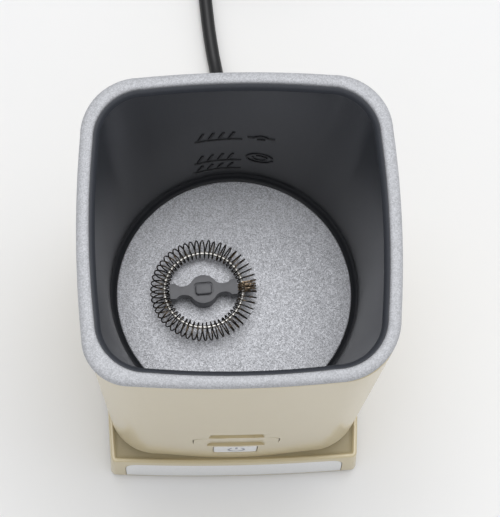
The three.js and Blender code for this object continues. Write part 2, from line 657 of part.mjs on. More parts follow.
const ballast = () => cut(
  raised(roundedRect(34, 38, 3), PLATE_TOP + GAP, PLATE_TOP + 3.4),
  ...BASE_SCREWS.map(([x, y]) => rod(3, 0, 20, 12).translate(x, y, 0)),
);
add(base, 'ballast_plate', ballast(), STEEL);

// ---- base: cord ----
// Strain relief: a collar inside the wall, a neck through it and a long taper outside.
const RELIEF_END = 88;
const RELIEF_INSIDE = 47.4;
function strainRelief() {
  const profile = [[0, RELIEF_INSIDE], [5.2, RELIEF_INSIDE], [5.2, 48.7], [RELIEF_RADIUS, 48.7],
    [RELIEF_RADIUS, 57], [4.3, 58], [3.3, RELIEF_END - 1], [2.9, RELIEF_END], [0, RELIEF_END]];
  const body = new THREE.LatheGeometry(profile.map(([r, y]) => new THREE.Vector2(r, y)), 20);
  return body.translate(0, 0, CORD_EXIT_HEIGHT);
}
add(base, 'strain_relief', strainRelief(), BLACK_RUBBER);
const cordClamp = () => cut(
  block(16, 7, 8.6, 0, RELIEF_INSIDE - 4.2, CORD_EXIT_HEIGHT - 0.8),
  new THREE.CylinderGeometry(2.6, 2.6, 20, 12).translate(0, RELIEF_INSIDE - 4, CORD_EXIT_HEIGHT),
);
add(base, 'cord_clamp', cordClamp(), BLACK_PLASTIC);

// Stretch of round cord along hand-chosen points.
function cordAlong(points, steps) {
  const path = new THREE.CatmullRomCurve3(points.map(([x, y, z]) => new THREE.Vector3(x, y, z)));
  const sides = 8;
  const section = new THREE.Shape(Array.from({ length: sides }, (_, i) => {
    const a = (i + 0.5) / sides * 2 * Math.PI;
    return new THREE.Vector2(CORD_RADIUS * Math.cos(a), CORD_RADIUS * Math.sin(a));
  }));
  return new THREE.ExtrudeGeometry(section, { steps, extrudePath: path, bevelEnabled: false });
}

// Free run: out of the strain relief, down to the table and away behind the jug.
const COIL_X = 24;
const COIL_Y = 203;
const COIL_MIDDLE = 29.7;              // radius to the middle of the bundle of turns
const COIL_WEST = COIL_X - COIL_MIDDLE - CORD_RADIUS;
add(base, 'cord', cordAlong([
  [0, RELIEF_END + GAP, CORD_EXIT_HEIGHT], [-0.4, 94, 8.5], [-1.5, 101, 6.2], [-2.8, 108, 3.8],
  [-3.8, 114, 2.8], [-4.9, 121, CORD_RADIUS], [-6, 130, CORD_RADIUS], [-7, 141, CORD_RADIUS],
  [-7.9, 154, CORD_RADIUS], [-8.3, 169, CORD_RADIUS], [COIL_WEST, 183.5, CORD_RADIUS],
], 12), BLACK_RUBBER);

// The rest of the cord is wound into a flat coil two turns wide and two high, held by a tie.
const COIL_THICK = 4 * CORD_RADIUS;
const TIE_WIDTH = 7;
const TIE_THICK = 0.8;
function cordTie(grow) {
  const side = COIL_THICK + 2 * grow;
  const hole = COIL_THICK - 2 * TIE_THICK - 2 * grow;
  const centre = [COIL_X, COIL_Y + COIL_MIDDLE, COIL_THICK / 2];
  return cut(
    block(TIE_WIDTH + 2 * grow, side, side, ...centre),
    block(TIE_WIDTH * 2, hole, hole, ...centre),
  );
}
const cordCoil = () => cut(
  turnedRing(COIL_MIDDLE - COIL_THICK / 2, COIL_MIDDLE + COIL_THICK / 2, 0, COIL_THICK, 36)
    .translate(COIL_X, COIL_Y, 0),
  cordTie(GAP),
);
add(base, 'cord_coil', cordCoil(), BLACK_RUBBER);
add(base, 'cord_tie', cordTie(0), BLACK_PLASTIC);

// Flat two-pin plug lying on the coil, its cable side towards +X.
const PLUG_REAR = 28;
const PLUG_LENGTH = 35;
const PLUG_THICK = 13.6;
const PLUG_Y = 178;
const PLUG_LOW = COIL_THICK + GAP;
const PLUG_MIDDLE = PLUG_LOW + PLUG_THICK / 2;
add(base, 'cord_tail', cordAlong([
  [49.5, 192, PLUG_LOW + 2.8], [46, 186, 15.4], [41, 181.4, 16.9], [35, 178.8, 17.7],
  [PLUG_REAR + GAP, PLUG_Y, PLUG_MIDDLE],
], 5), BLACK_RUBBER);
function plugBody() {
  const front = PLUG_REAR - PLUG_LENGTH;
  const s = new THREE.Shape();
  s.moveTo(PLUG_REAR, -4.5);
  s.lineTo(PLUG_REAR, 4.5);
  s.quadraticCurveTo(PLUG_REAR - 8, 5.5, PLUG_REAR - 12, 13);
  s.quadraticCurveTo(PLUG_REAR - 15, 17.6, PLUG_REAR - 20, 17.6);
  s.lineTo(front + 3, 17.6);
  s.lineTo(front, 13);
  s.lineTo(front, -13);
  s.lineTo(front + 3, -17.6);
  s.lineTo(PLUG_REAR - 20, -17.6);
  s.quadraticCurveTo(PLUG_REAR - 15, -17.6, PLUG_REAR - 12, -13);
  s.quadraticCurveTo(PLUG_REAR - 8, -5.5, PLUG_REAR, -4.5);
  return raised(s, PLUG_LOW, PLUG_LOW + PLUG_THICK, 5).translate(0, PLUG_Y, 0);
}
const PIN_SPACING = 18.6;
const plugPin = () => new THREE.CylinderGeometry(2, 2, 19, 16).rotateZ(Math.PI / 2);
add(base, 'plug', plugBody(), BLACK_PLASTIC);
[1, -1].forEach((side, i) => {
  const pin = add(base, `plug_pin_${i + 1}`, plugPin(), BRASS);
  pin.position.set(PLUG_REAR - PLUG_LENGTH - GAP - 9.5, PLUG_Y + side * PIN_SPACING / 2, PLUG_MIDDLE);
});

export default frother;
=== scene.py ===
"""Milk frother: a jug with a magnetic whisk, standing on a corded power base.

Sizes in the code are millimetres unless a name says otherwise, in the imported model's frame:
+Z up, front towards -Y, origin on the table under the middle of the base.
"""

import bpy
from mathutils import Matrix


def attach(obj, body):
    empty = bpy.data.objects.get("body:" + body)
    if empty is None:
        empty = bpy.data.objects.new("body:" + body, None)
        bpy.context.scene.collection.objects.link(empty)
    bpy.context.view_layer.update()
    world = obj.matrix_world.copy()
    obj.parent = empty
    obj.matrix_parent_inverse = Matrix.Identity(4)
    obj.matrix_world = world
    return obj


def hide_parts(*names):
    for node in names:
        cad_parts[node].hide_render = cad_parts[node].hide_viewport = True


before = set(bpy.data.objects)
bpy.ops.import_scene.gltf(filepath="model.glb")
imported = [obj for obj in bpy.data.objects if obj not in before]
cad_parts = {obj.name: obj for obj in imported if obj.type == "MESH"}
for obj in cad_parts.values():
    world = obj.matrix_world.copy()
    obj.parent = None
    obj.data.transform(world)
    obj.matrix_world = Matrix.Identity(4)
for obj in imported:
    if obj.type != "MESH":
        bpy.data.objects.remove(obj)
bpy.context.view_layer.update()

import math

import bmesh
import bpy
from bpy.props import (
    FloatProperty,
    FloatVectorProperty,
    IntProperty,
    PointerProperty,
)
from mathutils import Matrix, Vector

bl_info = {
    "name": "Milk frother",
    "version": (1, 0, 0),
    "blender": (4, 5, 0),
    "location": "3D View > Sidebar > Frother",
    "description": "Builds a milk frother, its power base, whisk and mains cord",
    "category": "Object",
}

MM = 0.001

# ---- heights and outlines shared by several pieces ----
RIM_TOP = 170
BODY_TOP = 166
BODY_BOTTOM = 20
FLOOR_TOP = 77.3
CHAMBER_FOOT_RADIUS = 44.7
CHAMBER_FOOT_TOP = 80.3
BASE_BOTTOM = 1.2
BASE_TOP = 18.6
PAD_TOP = 19.4
GAP = 0.3
CORD_RADIUS = 2.7
CORD_EXIT_HEIGHT = 9
WHISK_SPOT = (-11.1, 0, FLOOR_TOP)
FRONT_FAR = -60                        # shapes pushed through the front wall start here
FRONT_NEAR = -40                       # and end here
ROUND_STEPS = 160                      # sides of the chamber's large round parts

# half sizes, corner radii (back right, back left, front left, front right) and side bulges
RIM = {"x": 51.15, "y": 51.38, "radii": (19.6, 19.7, 15.7, 20.9), "bulge_x": 1.47, "bulge_y": 1.37}
MOUTH = {"x": 46.96, "y": 47.26, "radii": (17,) * 4, "bulge_x": 1.51, "bulge_y": 1.54}
BODY_HEAD = {"x": 50.6, "y": 50.9, "radii": (19,) * 4, "bulge_x": 1.45, "bulge_y": 1.4}
BODY_FOOT = {"x": 47.3, "y": 48.5, "radii": (18,) * 4, "bulge_x": 1.2, "bulge_y": 1.5}
BASE_FOOT = {"x": 47.7, "y": 53.2, "radii": (2.2,) * 4, "bulge_x": 1.5, "bulge_y": 1.4}
BASE_HEAD = {"x": 47.0, "y": 50.9, "radii": (2.2,) * 4, "bulge_x": 1.5, "bulge_y": 1.4}
PAD = {"x": 45.5, "y": 47.9, "radii": (21,) * 4, "bulge_x": 1.3, "bulge_y": 1.7}


# ---- sizes and colours that a user would change ----
def length(label, about, value, **limits):
    return FloatProperty(name=label, description=about, default=value * MM, unit="LENGTH",
                         precision=4, **limits)


def colour(label, about, value):
    return FloatVectorProperty(name=label, description=about, default=value, size=3,
                               subtype="COLOR_GAMMA", min=0, max=1)


def watts(label, about, value):
    return FloatProperty(name=label, description=about, default=value, min=0, unit="POWER")


class JugSettings(bpy.types.PropertyGroup):
    wall: length("Body wall", "Thickness of the enamelled body", 2.2)
    edge: length("Edge rounding", "Radius of the body's upper and lower edges", 0.6)
    panel_gap: length("Panel gap", "Width of the gap over the control panel", 0.35)
    enamel: colour("Enamel", "Colour of the body and base", (0.82, 0.765, 0.625))
    badge: colour("Badge", "Colour of the blank plate and the key", (0.93, 0.932, 0.932))
    paint: colour("Silver paint", "Colour of the rim", (0.705, 0.71, 0.725))


class ChamberSettings(bpy.types.PropertyGroup):
    lining: colour("Lining", "Colour of the chamber's wall, lip and floor seal", (0.222, 0.232, 0.255))
    floor: colour("Heated floor", "Colour of the sparkling floor", (0.775, 0.78, 0.80))
    mark_height: length("Mark relief", "How far the level marks stand off the wall", 0.3)
    mark_width: length("Mark width", "Width of a level mark's strokes", 0.8)


class WhiskSettings(bpy.types.PropertyGroup):
    turns: IntProperty(name="Turns", description="Turns of wire round the ring", default=52, min=8)
    wire: length("Coil wire", "Thickness of the coiled wire", 0.52)
    tilt: FloatProperty(name="Tilt", description="Tilt of the coil ring about its arms",
                        default=math.radians(-6), subtype="ANGLE")
    turn: FloatProperty(name="Turn", description="Angle of the arms about the spindle",
                        default=math.radians(4), subtype="ANGLE")
    hub: colour("Hub", "Colour of the whisk's hub and arms", (0.40, 0.402, 0.418))


class BaseSettings(bpy.types.PropertyGroup):
    wall: length("Base wall", "Thickness of the base shell", 2.4)
    edge: length("Ridge rounding", "Radius of the base's upper edge", 0.7)
    ribs: IntProperty(name="Relief ribs", description="Ribs on the strain relief", default=7, min=2)


class CordSettings(bpy.types.PropertyGroup):
    diameter: length("Cord", "Thickness of the mains cord", 2 * CORD_RADIUS)
    rubber: colour("Rubber", "Colour of the cord, feet and strain relief", (0.065, 0.067, 0.075))


class StageSettings(bpy.types.PropertyGroup):
    floor: colour("Floor", "Colour of the studio floor", (0.93, 0.93, 0.93))
    back_lamp: watts("Back lamp", "Power of the lamp over the back", 9.0)
    right_lamp: watts("Right lamp", "Power of the lamp on the right", 1.6)
    sky: FloatProperty(name="Sky", description="Brightness of the sky overhead", default=1.0)
    horizon: FloatProperty(name="Horizon", description="Brightness of the sky at the horizon", default=0.2)
    focal: FloatProperty(name="Focal length", description="Camera's focal length in millimetres",
                         default=158.4)


# ---- outlines and rings ----
CORNER_STEPS = 14
SIDE_STEPS = 12
BOX_CORNER_STEPS = 6


def outline(spec, inward=0.0):
    """Points of a rounded square with bowed sides, anticlockwise from the back right corner."""
    x, y = spec["x"] - inward, spec["y"] - inward
    signs = [(1, 1), (-1, 1), (-1, -1), (1, -1)]
    outward = [(0, spec["bulge_y"]), (-spec["bulge_x"], 0), (0, -spec["bulge_y"]), (spec["bulge_x"], 0)]

    def corner(quarter, part):
        angle = (quarter + part) * math.pi / 2
        sx, sy = signs[quarter % 4]
        r = max(spec["radii"][quarter % 4] - inward, 0.05)
        return Vector((sx * (x - r) + r * math.cos(angle), sy * (y - r) + r * math.sin(angle)))

    points = []
    for quarter in range(4):
        points += [corner(quarter, i / CORNER_STEPS) for i in range(CORNER_STEPS + 1)]
        start, end = corner(quarter, 1), corner(quarter + 1, 0)
        for i in range(1, SIDE_STEPS):
            t = i / SIDE_STEPS
            bow = 1 - (2 * t - 1) ** 2
            points.append(start.lerp(end, t) + Vector(outward[quarter]) * bow)
    return points


def mixed(a, b, t):
    """Outline part way from a to b."""
    blend = {key: a[key] + (b[key] - a[key]) * t for key in ("x", "y", "bulge_x", "bulge_y")}
    blend["radii"] = tuple(p + (q - p) * t for p, q in zip(a["radii"], b["radii"]))
    return blend


def ring(spec, inward, z):
    return [(p.x, p.y, z) for p in outline(spec, inward)]


def ring_between(a, b, t, z):
    """Ring part way between two outlines, point by point."""
    return [(*p.lerp(q, t), z) for p, q in zip(a, b)]


def bend(start, control, end, steps):
    """Points of a bend from start to end, both included."""
    return [tuple(start * (1 - t) ** 2 + control * 2 * t * (1 - t) + end * t * t)
            for t in (k / steps for k in range(steps + 1))]


def softened(profile, closed=False, steps=4):
    """Profile points (a, z) or (a, z, radius), with an arc at each corner that has a radius."""
    points = []
    count = len(profile)
    for i, point in enumerate(profile):
        here = Vector(point[:2])
        radius = point[2] if len(point) > 2 else 0
        if radius <= 0 or (not closed and i in (0, count - 1)):
            points.append(tuple(here))
            continue
        before = Vector(profile[i - 1][:2]) - here
        after = Vector(profile[(i + 1) % count][:2]) - here
        reach = min(radius, 0.49 * before.length, 0.49 * after.length)
        start, end = here + before.normalized() * reach, here + after.normalized() * reach
        points += bend(start, here, end, steps)
    return points


def curve_through(*spans, steps=8):
    """Flat outline from straight points and (control, end) bends."""
    points = []
    for span in spans:
        if len(span) == 2 and isinstance(span[0], tuple):
            points += bend(Vector(points[-1]), Vector(span[0]), Vector(span[1]), steps)[1:]
        else:
            points.append(span)
    return points


# ---- meshes ----
def added(name, data):
    """New object in the scene with the given data."""
    thing = bpy.data.objects.new(name, data)
    bpy.context.scene.collection.objects.link(thing)
    return thing


def points_piece(name, points, faces=()):
    """A piece from points in millimetres."""
    mesh = bpy.data.meshes.new(name)
    mesh.from_pydata([Vector(p) * MM for p in points], [], faces)
    return added(name, mesh)


def mesh_piece(name, points, faces):
    """A piece from points and faces, with its doubles merged and its faces turned outwards."""
    piece = points_piece(name, points, faces)
    tidy_mesh(piece)
    return piece


def tidy_mesh(piece):
    shape = bmesh.new()
    shape.from_mesh(piece.data)
    bmesh.ops.remove_doubles(shape, verts=shape.verts, dist=2e-6)
    bmesh.ops.dissolve_degenerate(shape, edges=shape.edges, dist=1e-6)
    bmesh.ops.recalc_face_normals(shape, faces=shape.faces)
    shape.to_mesh(piece.data)
    shape.free()


def through_rings(name, rings, looped=False):
    """Closed piece through rings of equal count: a loop of rings, or capped at both ends."""
    count = len(rings[0])
    faces = []
    for k in range(len(rings) if looped else len(rings) - 1):
        low, high = k * count, (k + 1) % len(rings) * count
        for i in range(count):
            j = (i + 1) % count
            faces.append((low + i, low + j, high + j, high + i))
    if not looped:
        faces.append(tuple(reversed(range(count))))
        faces.append(tuple(range((len(rings) - 1) * count, len(rings) * count)))
    return mesh_piece(name, [p for r in rings for p in r], faces)


def turned(name, profile, centre=(0, 0, 0), steps=96, looped=False, along_y=False):
    """Profile (radius, height) turned about a vertical axis, or about one along Y."""
    rings = []
    for r, h in profile:
        circle = []
        for i in range(steps):
            a = 2 * math.pi * i / steps
            p = (r * math.cos(a), h, -r * math.sin(a)) if along_y else (r * math.cos(a), r * math.sin(a), h)
            circle.append(tuple(p[k] + centre[k] for k in range(3)))
        rings.append(circle)
    return through_rings(name, rings, looped)


def front_prism(name, shape, front=FRONT_FAR, back=FRONT_NEAR):
    """Outline (x, z) pushed through from y front to y back."""
    rings = [[(x, y, z) for x, z in shape] for y in (front, back)]
    return through_rings(name, rings)


def raised_prism(name, shape, low, high):
    """Outline (x, y) raised from low to high."""
    return through_rings(name, [[(x, y, z) for x, y in shape] for z in (low, high)])


def bore(name, radius, low, high, spot=(0, 0), steps=28):
    """Cutter for a round upright hole."""
    return turned(name, [(radius, low), (radius, high)], centre=(*spot, 0), steps=steps)


def box_outline(left, low, right, high):
    return [(left, low), (right, low), (right, high), (left, high)]


def rounded_box_outline(half_a, half_b, radius):
    """Rectangle about the origin with round corners."""
    points = []
    for quarter, (sa, sb) in enumerate([(1, 1), (-1, 1), (-1, -1), (1, -1)]):
        for i in range(BOX_CORNER_STEPS + 1):
            a = (quarter + i / BOX_CORNER_STEPS) * math.pi / 2
            points.append((sa * (half_a - radius) + radius * math.cos(a),
                           sb * (half_b - radius) + radius * math.sin(a)))
    return points


def settle(piece):
    """Turns a piece's modifiers into plain mesh."""
    graph = bpy.context.evaluated_depsgraph_get()
    mesh = bpy.data.meshes.new_from_object(piece.evaluated_get(graph))
    piece.modifiers.clear()
    old = piece.data
    piece.data = mesh
    bpy.data.meshes.remove(old)
    mesh.name = piece.name


def worked(piece, operation, *tools):
    """Cuts, joins or intersects a piece with tools, which are used up."""
    for tool in tools:
        step = piece.modifiers.new(operation.title(), "BOOLEAN")
        step.operation = operation
        step.solver = "EXACT"
        step.object = tool
    settle(piece)
    for tool in tools:
        bpy.data.objects.remove(tool)
    tidy_mesh(piece)
    return piece


def eased(piece, width, segments=2, angle=40):
    """Rounds a piece's sharp edges."""
    step = piece.modifiers.new("Bevel", "BEVEL")
    step.width = width * MM
    step.segments = segments
    step.limit_method = "ANGLE"
    step.angle_limit = math.radians(angle)
    step.harden_normals = False
    settle(piece)
    return piece


def place(piece, body, nodes, slot, look=None, crease=35):
    """Gives a piece its shading and the slot's finish or another look, puts it under its body and hides the
    CAD nodes it stands for.
    """
    mesh = piece.data
    mesh.materials.clear()
    mesh.materials.append(finish(look or slot))
    mesh.shade_smooth()
    mesh.set_sharp_from_angle(angle=math.radians(crease))
    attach(piece, body)
    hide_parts(*nodes)
    return piece


def tube(name, path, radius, sides=20):
    """Round tube along a path of close points, capped at both ends."""
    points = [Vector(p) for p in path]
    across = Vector((0, 0, 1))
    rings = []
    for i, p in enumerate(points):
        ahead = (points[min(i + 1, len(points) - 1)] - points[max(i - 1, 0)]).normalized()
        across = (across - ahead * across.dot(ahead)).normalized()
        side = ahead.cross(across)
        rings.append([tuple(p + (across * math.cos(a) + side * math.sin(a)) * radius)
                      for a in (2 * math.pi * k / sides for k in range(sides))])
    return through_rings(name, rings)


def smooth_path(points, spacing):
    """Points along a smooth line through given ones, about spacing apart."""
    spots = [Vector(p) for p in points]
    ends = [spots[0] * 2 - spots[1], *spots, spots[-1] * 2 - spots[-2]]
    path = []
    for a, b, c, d in zip(ends, ends[1:], ends[2:], ends[3:]):
        steps = max(2, round((c - b).length / spacing))
        for k in range(steps):
            t = k / steps
            path.append(0.5 * (2 * b + (c - a) * t + (2 * a - 5 * b + 4 * c - d) * t * t
                               + (3 * b - a - 3 * c + d) * t ** 3))
    return path + [spots[-1]]


# ---- node helpers ----
def linear(value):
    """Linear colour from an sRGB one."""
    return tuple(v / 12.92 if v <= 0.04045 else ((v + 0.055) / 1.055) ** 2.4 for v in value)


def coated(name, base, roughness, metallic=0.0, coat=0.0):
    """New material; returns it with its tree and shader."""
    material = bpy.data.materials.new(name)
    material.use_nodes = True
    material.diffuse_color = (*linear(base), 1)
    tree = material.node_tree
    shader = tree.nodes["Principled BSDF"]
    shader.inputs["Base Color"].default_value = (*linear(base), 1)
    shader.inputs["Roughness"].default_value = roughness
    shader.inputs["Metallic"].default_value = metallic
    shader.inputs["Coat Weight"].default_value = coat
    shader.inputs["Coat Roughness"].default_value = 0.08
    return material, tree, shader


def object_place(tree):
    return tree.nodes.new("ShaderNodeTexCoord").outputs["Object"]


def axes(tree, vector):
    """The X, Y and Z outputs of a vector."""
    split = tree.nodes.new("ShaderNodeSeparateXYZ")
    tree.links.new(vector, split.inputs["Vector"])
    return split.outputs


def noise(tree, feature, detail=2.0):
    """Soft noise whose blotches are about feature millimetres wide."""
    node = tree.nodes.new("ShaderNodeTexNoise")
    node.inputs["Scale"].default_value = 1 / (feature * MM)
    node.inputs["Detail"].default_value = detail
    tree.links.new(object_place(tree), node.inputs["Vector"])
    return node.outputs["Fac"]


def grains(tree, feature, output="Color"):
    """Grains about feature millimetres wide, each with its own value."""
    node = tree.nodes.new("ShaderNodeTexVoronoi")
    node.inputs["Scale"].default_value = 1 / (feature * MM)
    tree.links.new(object_place(tree), node.inputs["Vector"])
    if output == "Distance":
        return node.outputs["Distance"]
    split = tree.nodes.new("ShaderNodeSeparateColor")
    tree.links.new(node.outputs["Color"], split.inputs["Color"])
    return split.outputs["Red"]


def ranged(tree, value, low, high, from_low=0.0, from_high=1.0):
    node = tree.nodes.new("ShaderNodeMapRange")
    node.inputs["From Min"].default_value = from_low
    node.inputs["From Max"].default_value = from_high
    node.inputs["To Min"].default_value = low
    node.inputs["To Max"].default_value = high
    tree.links.new(value, node.inputs["Value"])
    return node.outputs["Result"]


def product(tree, a, b):
    node = tree.nodes.new("ShaderNodeMath")
    node.operation = "MULTIPLY"
    tree.links.new(a, node.inputs[0])
    tree.links.new(b, node.inputs[1])
    return node.outputs[0]


def shade_by(tree, shader, base, factor):
    """Base colour multiplied by a varying factor."""
    node = tree.nodes.new("ShaderNodeVectorMath")
    node.operation = "SCALE"
    node.inputs[0].default_value = linear(base)
    tree.links.new(factor, node.inputs["Scale"])
    tree.links.new(node.outputs[0], shader.inputs["Base Color"])


def bumped(tree, shader, height, distance, strength=1.0, coat=False):
    node = tree.nodes.new("ShaderNodeBump")
    node.inputs["Strength"].default_value = strength
    node.inputs["Distance"].default_value = distance * MM
    tree.links.new(height, node.inputs["Height"])
    tree.links.new(node.outputs["Normal"], shader.inputs["Normal"])
    if coat:
        tree.links.new(node.outputs["Normal"], shader.inputs["Coat Normal"])


# ---- finishes ----
def mottled(name, base, roughness, pattern, tones, bump=None, **looks):
    """New finish whose colour varies with a pattern; returns it with its tree and shader.

    A pattern is noise or grains and its sizes, tones are the factors at its two ends, and bump
    is the feature, depth and strength of a relief.
    """
    material, tree, shader = coated(name, base, roughness, **looks)
    kind, *sizes = pattern
    shade_by(tree, shader, base, ranged(tree, kind(tree, *sizes), *tones))
    if bump:
        feature, depth, strength = bump
        bumped(tree, shader, noise(tree, feature), depth, strength)
    return material, tree, shader


def enamel(name, base):
    """New glossy enamel with a trace of orange peel; returns it with its tree and shader."""
    material, tree, shader = coated(name, base, 0.34, coat=0.4)
    bumped(tree, shader, noise(tree, 1.6, 1), 0.006, coat=True)
    return material, tree, shader


def enamel_finish(base):
    """Enamel of the body."""
    material, tree, shader = enamel("beige_enamel", base)
    shade_by(tree, shader, base, ranged(tree, noise(tree, 9), 0.985, 1.015))
    return material


TRAY_SHADE_REACH = {"X": 45.6, "Y": 49.6}    # how far the painted shade over the tray goes to each side
TRAY_SHADE_HEIGHTS = (16.8, 17, 17.5, 18.4)  # the painted shade sets in over the first two heights and ends over the last two
# how dark the painted shade makes the tray's floor
TRAY_SHADE_TONE = 0.66


def tray_shade_finish(base):
    """The body's enamel with painted shade: darker over the floor of the base's tray, where the jug shades
    it.
    """
    material, tree, shader = enamel("tray_enamel", base)
    spot = axes(tree, object_place(tree))
    start, full, fading, end = (z * MM for z in TRAY_SHADE_HEIGHTS)
    within = ranged(tree, spot["Z"], 1, 0, fading, end)
    for axis, reach in TRAY_SHADE_REACH.items():
        away = tree.nodes.new("ShaderNodeMath")
        away.operation = "ABSOLUTE"
        tree.links.new(spot[axis], away.inputs[0])
        within = product(tree, within, ranged(tree, away.outputs[0], 1, 0, reach * MM, (reach + 1) * MM))
    above = ranged(tree, spot["Z"], 0, 1, start, full)
    shade_by(tree, shader, base, ranged(tree, product(tree, within, above), 1, TRAY_SHADE_TONE))
    return material


def silver_paint_finish(base):
    """Silver paint with fine metallic flecks over a soft mottle."""
    material, tree, shader = coated("silver_paint", base, 0.55, metallic=0.1)
    flecks = product(tree, ranged(tree, grains(tree, 0.34), 0.8, 1.2),
                     ranged(tree, noise(tree, 4, 3), 0.97, 1.03, 0.25, 0.75))
    shade_by(tree, shader, base, flecks)
    tree.links.new(ranged(tree, grains(tree, 0.3), 0.5, 0.7), shader.inputs["Roughness"])
    bumped(tree, shader, noise(tree, 0.4, 2), 0.01, 0.5)
    return material


def badge_finish(base):
    """Smooth, finely flecked silver of the badge plate."""
    return mottled("badge_silver", base, 0.4, (grains, 0.2), (0.96, 1.04), (0.5, 0.006, 0.5), metallic=0.1)[0]


LINING_SHADE_HEIGHTS = (80, 150)              # painted shade on the lining lightens from the first height to the second
# tones of the painted shade: dark at the foot, above the lining's own colour higher up
LINING_SHADE_TONES = (0.4, 1.15)


def lining_finish(base):
    """Satin charcoal non-stick coating with a faint grain, with painted shade darkening it towards the foot
    and painted light lifting it higher up.
    """
    material, tree, shader = coated("charcoal_coating", base, 0.36)
    height = axes(tree, object_place(tree))["Z"]
    foot_shade = ranged(tree, height, *LINING_SHADE_TONES, *(z * MM for z in LINING_SHADE_HEIGHTS))
    shade_by(tree, shader, base, product(tree, foot_shade, ranged(tree, grains(tree, 0.22), 0.88, 1.12)))
    bumped(tree, shader, noise(tree, 0.35, 2), 0.012, 0.5)
    return material


def sparkle_finish(base):
    """Silver-grey coating full of coarse, bright grains."""
    material, tree, shader = coated("sparkle_coating", base, 0.55, metallic=0.2)
    speckle = product(tree, ranged(tree, grains(tree, 0.3), 0.62, 1.38),
                      ranged(tree, noise(tree, 5, 3), 0.97, 1.03, 0.25, 0.75))
    shade_by(tree, shader, base, speckle)
    tree.links.new(ranged(tree, grains(tree, 0.5), 0.42, 0.62), shader.inputs["Roughness"])
    bumped(tree, shader, grains(tree, 0.34, "Distance"), 0.03, 0.5)
    return material


def hub_finish(base):
    """Matt moulded plastic."""
    return mottled("dark_plastic", base, 0.48, (noise, 1.2, 3), (0.92, 1.08), (0.25, 0.01, 0.4))[0]


def moulding_finish():
    """Black moulded plastic with a spark-eroded grain."""
    base = (0.13, 0.132, 0.14)
    return mottled("black_plastic", base, 0.5, (noise, 1.5, 3), (0.9, 1.1), (0.3, 0.02, 0.5))[0]


def steel_finish():
    """Drawn steel with fine streaks."""
    base = (0.78, 0.78, 0.79)
    material, tree, shader = mottled("steel", base, 0.28, (noise, 0.6, 4), (0.85, 1.1), metallic=1)
    tree.links.new(ranged(tree, noise(tree, 0.4, 3), 0.2, 0.38), shader.inputs["Roughness"])
    return material


def glinting_wire_finish():
    """Dark spring wire, with brown patches painted in as glints."""
    material, tree, shader = coated("spring_wire", (0.2, 0.19, 0.18), 0.3, metallic=0.6)
    painted_glints = tree.nodes.new("ShaderNodeValToRGB")
    painted_glints.color_ramp.elements[0].position = 0.46
    painted_glints.color_ramp.elements[0].color = (*linear((0.13, 0.13, 0.135)), 1)
    painted_glints.color_ramp.elements[1].position = 0.7
    painted_glints.color_ramp.elements[1].color = (*linear((0.42, 0.36, 0.28)), 1)
    tree.links.new(noise(tree, 1.4, 2), painted_glints.inputs["Fac"])
    tree.links.new(painted_glints.outputs["Color"], shader.inputs["Base Color"])
    return material


def join_glint_wire_finish():
    """Spring wire where the coil is joined, pale brown with dark patches: a painted highlight on the bunched
    turns.
    """
    base = (0.56, 0.49, 0.41)
    material, tree, shader = coated("worn_wire", base, 0.35, metallic=0.7)
    shade_by(tree, shader, base, ranged(tree, noise(tree, 0.8, 3), 0.15, 1.7, 0.36, 0.64))
    return material


def ring_steel_finish():
    """Bright satin steel of the coil's ring."""
    base = (0.88, 0.87, 0.85)
    return mottled("ring_steel", base, 0.4, (noise, 0.6, 4), (0.9, 1.06), metallic=0.75)[0]


def rubber_finish(base):
    """Matt black rubber."""
    return mottled("black_rubber", base, 0.42, (noise, 3, 3), (0.88, 1.12), (0.4, 0.02, 0.4))[0]


def brass_finish():
    """Cloudy brass."""
    base = (0.80, 0.70, 0.42)
    return mottled("brass", base, 0.3, (noise, 0.8, 4), (0.88, 1.08), metallic=1)[0]


def board_finish():
    """Green circuit board with darker tracks."""
    base = (0.16, 0.42, 0.27)
    material, tree, shader = coated("board_green", base, 0.4, coat=0.4)
    tracks = tree.nodes.new("ShaderNodeTexBrick")
    tracks.inputs["Scale"].default_value = 1 / (6 * MM)
    tracks.inputs["Color1"].default_value = (*linear(base), 1)
    tracks.inputs["Color2"].default_value = (*linear((0.14, 0.37, 0.24)), 1)
    tracks.inputs["Mortar"].default_value = (*linear((0.24, 0.52, 0.33)), 1)
    tree.links.new(object_place(tree), tracks.inputs["Vector"])
    tree.links.new(tracks.outputs["Color"], shader.inputs["Base Color"])
    return material


def white_plastic_finish():
    """Off-white moulded plastic."""
    base = (0.86, 0.86, 0.83)
    return mottled("white_plastic", base, 0.45, (noise, 2, 3), (0.95, 1.04), (0.4, 0.01, 0.4))[0]


def mark_shade_finish():
    """Dark, duller coating over the raised level marks, painted dark as the shade of their relief."""
    return mottled("mark_black", (0.10, 0.103, 0.11), 0.5, (grains, 0.22), (0.9, 1.1))[0]


def symbol_finish():
    """Grey printing ink."""
    return mottled("grey_ink", (0.58, 0.59, 0.62), 0.5, (noise, 0.6, 3), (0.94, 1.06))[0]


def studio_floor_finish(base):
    """Matt, almost even studio card."""
    material, _, shader = mottled("studio_floor", base, 0.75, (noise, 60, 3), (0.99, 1.01))
    shader.inputs["Specular IOR Level"].default_value = 0.2
    return material


